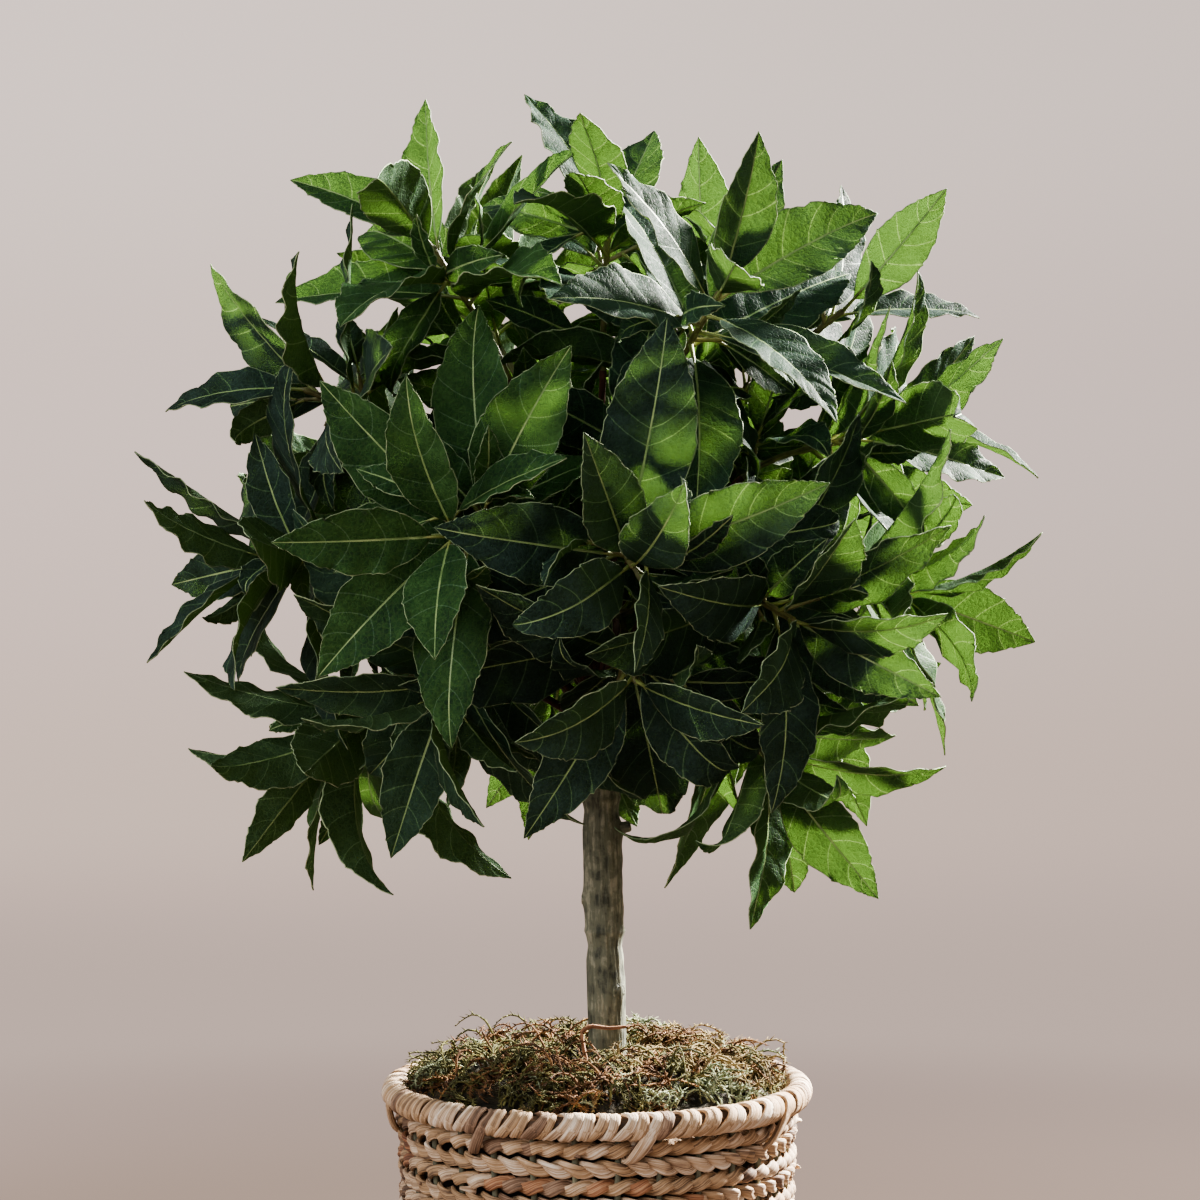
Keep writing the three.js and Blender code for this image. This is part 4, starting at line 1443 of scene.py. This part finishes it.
def wrap(heap, number):
    """One flat strand wound round the bundle. Some reach down as ties."""
    draw = chance(number * 11 + 900)
    way = 2 * pi * np.arange(WRAP_STEPS) / WRAP_STEPS
    lean = WRAP_LEAN * draw(0.5, 1.6)
    ring = WRAP_RING * draw(0.96, 1.08)
    drop = TIE_DROP * draw(0.85, 1.15) if number % TIE_EVERY == TIE_FIRST else 0
    size = draw(0.82, 1.1)
    turn = 2 * pi * (number + draw(-WRAP_STRAYS, WRAP_STRAYS)) / RIM_WRAPS
    turn = turn + lean / RIM_RADIUS * np.sin(way + 0.5)
    turn = turn + drop / RIM_RADIUS * TIE_LEANS * np.minimum(0, np.sin(way))
    radius = RIM_RADIUS + ring * np.cos(way) - 0.2 * drop * np.clip(-np.sin(way), 0, 1)
    height = RIM_HEIGHT + ring * np.sin(way) - drop * np.clip(-np.sin(way), 0, 1)
    out = around(turn, np.cos(way), np.sin(way))
    wide = WRAP_HALF[0] * size * (1 + 0.12 * np.sin(way * 2 + draw(0, 6)))
    look = int(draw(0, 1) > 0.4) + int(draw(0, 1) > 0.78)
    path = around(turn, radius, height)
    tube(heap, path, wide, WRAP_HALF[1], len(WRAP_CREASES), out, look, True, WRAP_CREASES)


rim = Heap()
angle = 2 * pi * np.arange(BUNDLE_STEPS) / BUNDLE_STEPS
bundle = around(angle, RIM_RADIUS, RIM_HEIGHT)
# the bundle's dark colour is painted shade for the gaps between the wraps
tube(rim, bundle, BUNDLE_RADIUS, BUNDLE_RADIUS, 12, around(angle, 1, 0), len(GRASS), True)
for number in range(RIM_WRAPS):
    wrap(rim, number)
made_rim = rim.piece("wrapped_rim", "basket_rim", [*GRASS, painted_gap_shade])
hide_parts("basket_rim")

# %% [markdown]
# ## Moss
# Dried moss isn't a green lawn. It is a heap of curly feathery strands, olive and brown on one side and
# straw-coloured on the other, with a few pale lichen-green tufts, and long wisps that stand up out of it. A
# low mound closes the ground, and some 1,500 strands grow out of it in tufts, each rising and curling over,
# with barbs along both its sides like a feather.

# %% Mound
MOSS_EDGE = 73.5
MOUND_RINGS = 34
MOUND_SIDES = 150
MOUND_CREST = 21  # above the trunk's foot
MOUND_DIP = 6  # at the trunk
MOUND_FALL = 13  # at the edge
MOUND_UNDER = 2.2  # how far the mesh lies under the heights that the strands use
TRUNK_ROOM = 8


def mound_height(x, y):
    share = np.hypot(x, y) / MOSS_EDGE
    tufts = 2 * np.sin(0.21 * x + 1) * np.cos(0.19 * y) + 1.2 * np.sin(0.43 * x - 0.37 * y)
    return GROUND + MOUND_CREST - MOUND_DIP * (1 - share) ** 2 - MOUND_FALL * share**5 + tufts


turn = 2 * pi * np.arange(MOUND_SIDES) / MOUND_SIDES
share = np.linspace(0, 1, MOUND_RINGS)[:, None]
x = mix(TRUNK_STANDS + TRUNK_ROOM * np.cos(turn), MOSS_EDGE * np.cos(turn), share)
y = mix(TRUNK_ROOM * np.sin(turn), MOSS_EDGE * np.sin(turn), share)
lumps = 0.9 * np.sin(0.9 * x + 0.4 * np.sin(y)) * np.sin(0.8 * y + 2) + 0.5 * np.sin(1.9 * x - 1.7 * y)
points = np.stack([x, y, mound_height(x, y) - MOUND_UNDER + lumps], 2)
mound = Heap()
mound.add(grid_faces(MOUND_RINGS, MOUND_SIDES, False, True)[:, ::-1], 0, points, points)
mound.close()
ground = mound.piece("moss_ground", "moss", [moss_ground])
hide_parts("moss_bed")

# %% Kinds and heights of moss
OLIVE, BROWN, STRAW, LICHEN = range(4)
LICHEN_SPOTS = [(44, -46, 12), (26, -60, 8), (-50, 30, 11), (14, 55, 12)]  # place and reach


def moss_look(x, y, draw):
    """Olive and brown on the left and in front, straw on the right, with tufts of pale lichen green."""
    patch = sin(x * 0.11 + 1.3) * cos(y * 0.13 - 0.4) + 0.5 * sin(x * 0.27 - y * 0.21)
    dry = x / 60 + 0.35 * patch + draw(-0.55, 0.55)
    if draw(0, 1) > 0.95 or any(hypot(x - spot[0], y - spot[1]) < spot[2] for spot in LICHEN_SPOTS):
        return LICHEN
    if dry > 0.42:
        return STRAW if draw(0, 1) > 0.4 else BROWN
    return OLIVE if draw(0, 1) > 0.33 else BROWN


def heaped(x, y):
    """How tall the tufts stand: tall on the heaps, and low between them and round the trunk."""
    crest = 0.5 + 0.5 * sin(x * 0.12 + 0.9) * cos(y * 0.1 + 0.5)
    return mix(0.6, 1.35, crest) * min(1, 0.4 + hypot(x - TRUNK_STANDS, y) / 60)


print("tufts at the trunk's foot are", round(heaped(TRUNK_STANDS, 0), 2), "of the usual height")

# %% A strand of moss
MOSS_STEPS = 9
STRAND_RADII = (0.6, 0.2)
STRAND_SUNK = 3  # below the mound, at its foot
STRAND_LOWEST = 2.5  # below the mound, farther on
STRAND_PASSES = 1.5  # the moss's edge at most
BARBS = 18
BARBS_AT = (0.12, 0.97)  # of the strand
BARB_LENGTHS = (2.8, 1.3)
BARB_FOOT = 0.6  # half the width of its foot
BARB_THICK = 0.35
BARB_LEAN = 0.8  # along the strand, for each 1 to the side


def barb(heap, foot, way, side, size):
    """A little leaf of moss: a spike with three sides."""
    tip = foot + (way * BARB_LEAN + side) * size
    up = unit(np.cross(way, side)) * BARB_THICK
    points = np.array([foot - way * BARB_FOOT, foot + way * BARB_FOOT, foot + up, tip])
    faces = np.array([[0, 1, 3], [1, 2, 3], [2, 0, 3], [0, 2, 1]])
    heap.add(faces, 0, points, points)
    heap.close()


def moss_strand(heap, draw, x, y, heading, length, rise, reach):
    """A feathery strand that starts in the mound, rises, wanders and curls over."""
    along = np.linspace(0, 1, MOSS_STEPS)
    heading = heading + draw(-2.4, 2.4) * along + draw(0.2, 0.7) * np.sin(along * draw(5, 9))
    tilt = rise * (1 - along * draw(1.2, 2.6)) + 0.3 * np.sin(along * draw(5, 9))
    step = length / (MOSS_STEPS - 1)
    flat = np.cos(tilt) * step * reach
    moves = np.stack([np.cos(heading) * flat, np.sin(heading) * flat, np.sin(tilt) * step], 1)
    foot = np.array([x, y, mound_height(x, y) - STRAND_SUNK])
    path = foot + np.cumsum(moves, axis=0) - moves[0]
    inside = np.minimum(1, (MOSS_EDGE + STRAND_PASSES) / np.hypot(path[:, 0], path[:, 1]))
    path[:, :2] *= inside[:, None]
    path[:, 2] = np.maximum(path[:, 2], mound_height(path[:, 0], path[:, 1]) - STRAND_LOWEST)
    radius = np.linspace(*STRAND_RADII, MOSS_STEPS)
    tube(heap, path, radius, radius, 4, (0.2, 0.1, 1), 0)
    ways = unit(np.gradient(path, axis=0))
    for number, place in enumerate(np.linspace(*BARBS_AT, BARBS) * (MOSS_STEPS - 1)):
        low = int(place)
        at = mix(path[low], path[low + 1], place - low)
        across = unit(np.cross(ways[low], (0.1, 0.2, 1)))
        side = across * (-1) ** number + np.array([0, 0, draw(-0.3, 0.8)])
        barb(heap, at, ways[low], side, mix(*BARB_LENGTHS, place / MOSS_STEPS) * draw(0.6, 1.25))


trial = Heap()
moss_strand(trial, chance(1), 30, 0, 0, 16, 1, 1)
print("faces of one strand of moss:", len(trial.faces))

# %% Tufts and wisps
MOSS_TUFTS = 220
TUFT_STRANDS = 7
TUFT_REACH = 5
MOSS_LENGTHS = (12, 22)
TRUNK_KEEPS = 10  # from its middle, where no strand starts
WISPS = 48
WISP_LENGTHS = (24, 42)
WISP_REACH = 0.8  # a wisp goes less far to the side than a strand does

heaps = [Heap() for _ in MOSS]
draw = chance(777)
for _ in range(MOSS_TUFTS):
    angle = draw(0, 2 * pi)
    radius = MOSS_EDGE * mix(0.14, 1.0, draw(0, 1) ** 0.55)
    middle = (radius * cos(angle), radius * sin(angle))
    look = moss_look(*middle, draw)
    lean = draw(0, 2 * pi)
    tall = draw(35, 88)
    size = draw(0.85, 1.45) * heaped(*middle)
    for _ in range(TUFT_STRANDS):
        x = middle[0] + draw(-TUFT_REACH, TUFT_REACH)
        y = middle[1] + draw(-TUFT_REACH, TUFT_REACH)
        own = look if draw(0, 1) > 0.25 else moss_look(x, y, draw)
        if hypot(x - TRUNK_STANDS, y) > TRUNK_KEEPS:
            heading = lean + draw(-1.2, 1.2)
            length = draw(*MOSS_LENGTHS) * size
            moss_strand(heaps[own], draw, x, y, heading, length, radians(tall + draw(-12, 12)), 1)
for _ in range(WISPS):
    angle = draw(0, 2 * pi)
    radius = MOSS_EDGE * draw(0.25, 0.92)
    x = radius * cos(angle)
    y = radius * sin(angle)
    look = STRAW if x > 8 else BROWN if draw(0, 1) > 0.5 else OLIVE
    heading = draw(0, 2 * pi)
    length = draw(*WISP_LENGTHS)
    moss_strand(heaps[look], draw, x, y, heading, length, radians(draw(60, 84)), WISP_REACH)
for name, heap, material in zip(("olive", "brown", "straw", "lichen"), heaps, MOSS):
    tufts = heap.piece(f"moss_{name}_strands", "moss", [material])
    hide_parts("moss_bed")

# %% [markdown]
# ## The dry stem
# A bent straw stands up out of the moss at the trunk's foot and lies over to the right. Its path is given as
# a few spots, measured from the trunk's foot, and the bends are rounded.

# %% Dry stem
DRY_STEM = [(-8, -18, 16), (-10, -18.5, 24), (-11, -17, 31), (-7, -16.5, 33), (0, -17, 32), (8, -18, 33)]
DRY_WIDTHS = ([0, 0.5, 0.95, 1], [0.9, 1.1, 0.8, 0.2])

bent = Heap()
spots = np.array(DRY_STEM) + (TRUNK_STANDS, 0, GROUND)
share = np.linspace(0, len(spots) - 1, 21)
path = np.stack([np.interp(share, range(len(spots)), column) for column in spots.T], 1)
path[1:-1] = (path[:-2] + path[1:-1] * 2 + path[2:]) / 4  # rounds the bends
thick = np.interp(np.linspace(0, 1, len(path)), *DRY_WIDTHS)
tube(bent, path, thick, thick * 0.8, 8, (0.2, 0.1, 1), 0)
dry_stem = bent.piece("dry_stem", "moss", [GRASS[-1]])
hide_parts("moss_bed")

# %% [markdown]
# ## Liner and block
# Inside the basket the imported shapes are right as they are: a plastic liner, and the block of foam that the
# trunk is set in. They only get their surfaces.

# %% Inside the basket
for node, material in (("liner", liner_plastic), ("filler", filler_foam)):
    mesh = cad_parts[node].data
    mesh.materials.clear()
    mesh.materials.append(material)
    print(node, "in", material.name)

# %% [markdown]
# ## Floor and light
# A plain pale bowl stands in for a studio floor that curves up into its wall, so no line shows behind the
# tree from any side. Its colour is painted shade near the tree, warmer and darker there, and painted light
# towards the top of the wall, and the floor also glows with it in place of a room's other walls. One lamp is
# small enough to throw soft-edged patches of light, as the low sun does in the photograph, and a large one
# fills the shade.

# %% Floor
FLOOR_RADIUS = 3.2  # metres from here on
FLOOR_RINGS = (0.02, 1.2)  # of its flat part
COVE_RADIUS = 1.6
WALL_HEIGHT = 4.0
FLOOR_SIDES = 96


def floor_profile():
    """Radius and height of the floor's outline, from its middle to the top of its wall."""
    turn = np.linspace(0, pi / 2, 17)
    cove = [(FLOOR_RADIUS + COVE_RADIUS * sin(t), COVE_RADIUS * (1 - cos(t))) for t in turn]
    return [*((ring, 0) for ring in FLOOR_RINGS), *cove, (FLOOR_RADIUS + COVE_RADIUS, WALL_HEIGHT)]


def build_floor():
    profile = np.array(floor_profile())
    turn = 2 * pi * np.arange(FLOOR_SIDES) / FLOOR_SIDES
    rings = profile[:, None, 0] * np.stack([np.cos(turn), np.sin(turn)])[:, None]
    height = np.broadcast_to(profile[:, None, 1], rings.shape[1:])
    points = np.stack([rings[0], rings[1], height], 2).reshape(-1, 3)
    faces = grid_faces(len(profile), FLOOR_SIDES, False, True)[:, ::-1].tolist()
    faces.append(list(range(FLOOR_SIDES)))
    return new_object("studio_floor", smooth_mesh("studio_floor", points, faces))


floor = build_floor()
print("floor:", len(floor.data.polygons), "faces")

# %% Paint
# painted shade near the tree and painted light up the wall: each colour, and how far away it is reached
PAINTED_LIGHT_STEPS = (("8f7d73", 0.45), ("d2bdb3", 1.15), ("d7c3b8", 3.6), ("dfcec7", 5.6), ("e8dad3", 6.8))
WALL_COUNTS = 1.2  # a metre up the wall changes the paint as much as this many metres of floor
PAINT_TAKES = 0.2  # share of the lamps' light that the paint gives back
PAINT_GLOWS = 0.48  # the light that the room's other walls would give
PAINT_SHINE = 0.1
PAINT_ROUGH = 0.9


def painted_floor_light(tree):
    """Painted shade, darker and warmer near the tree, and painted light, paler towards the top of the wall.
    """
    place = add_node(tree, "ShaderNodeNewGeometry").outputs["Position"]
    along = add_node(tree, "ShaderNodeVectorMath", {0: place}, operation="LENGTH").outputs["Value"]
    up = add_node(tree, "ShaderNodeSeparateXYZ", {"Vector": place}).outputs["Z"]
    away = maths(tree, "ADD", along, maths(tree, "MULTIPLY", up, WALL_COUNTS))
    paint = colour(PAINTED_LIGHT_STEPS[0][0])
    for (_, start), (shade, end) in zip(PAINTED_LIGHT_STEPS, PAINTED_LIGHT_STEPS[1:]):
        paint = blend_colours(tree, smooth_range(tree, away, start, end), paint, colour(shade))
    return paint


floor_paint_and_glow, paint_tree, floor_shader = bare_material("floor_paint_and_glow")
glowing = painted_floor_light(paint_tree)
dimmed = {0: glowing, "Scale": PAINT_TAKES}
given_back = add_node(paint_tree, "ShaderNodeVectorMath", dimmed, operation="SCALE").outputs["Vector"]
feed(paint_tree, floor_shader.inputs["Roughness"], PAINT_ROUGH)
feed(paint_tree, floor_shader.inputs["Specular IOR Level"], PAINT_SHINE)
# the floor glows with its painted light and shade, in place of the light of a room's other walls
feed(paint_tree, floor_shader.inputs["Emission Strength"], PAINT_GLOWS)
feed(paint_tree, floor_shader.inputs["Emission Color"], glowing)
feed(paint_tree, floor_shader.inputs["Base Color"], given_back)
floor.data.materials.append(floor_paint_and_glow)
print("material:", floor_paint_and_glow.name)

# %% Lights
CROWN_MIDDLE = (0, 0, 0.36)
WALL_BEHIND = (-0.5, 4.8, 1.1)
WARM = (1.0, 0.96, 0.9)
PINKISH = (1.0, 0.92, 0.88)
COOL = (0.92, 0.96, 1.0)
SKY = (0.84, 0.92, 1.0, 1)
SKY_GIVES = 0.33


def lamp(name, place, aim, width, watts, hue, spread):
    """A square lamp. A narrow spread, as a grid before it gives, keeps its light off the walls."""
    light = bpy.data.lights.new(name, "AREA")
    light.size = width
    light.energy = watts
    light.color = hue
    light.spread = radians(spread)
    made = new_object(name, light)
    made.location = place
    made.rotation_euler = (Vector(aim) - made.location).to_track_quat("-Z", "Y").to_euler()


lamp("sun_side", (1.75, 1.35, 1.6), CROWN_MIDDLE, 0.3, 30, WARM, 42)
lamp("window_side", (-2.2, -1.9, 1.5), CROWN_MIDDLE, 2.2, 39, COOL, 180)
lamp("wall_wash", (-1.3, 1.6, 2.6), WALL_BEHIND, 1.4, 56, PINKISH, 120)
world = bpy.data.worlds.new("pale_room")
bpy.context.scene.world = world
world.use_nodes = True
sky = world.node_tree.nodes["Background"].inputs
feed(world.node_tree, sky["Color"], SKY)
feed(world.node_tree, sky["Strength"], SKY_GIVES)
view = bpy.context.scene.view_settings
view.view_transform = "AgX"
view.look = "AgX - Medium High Contrast"
view.exposure = 0.62
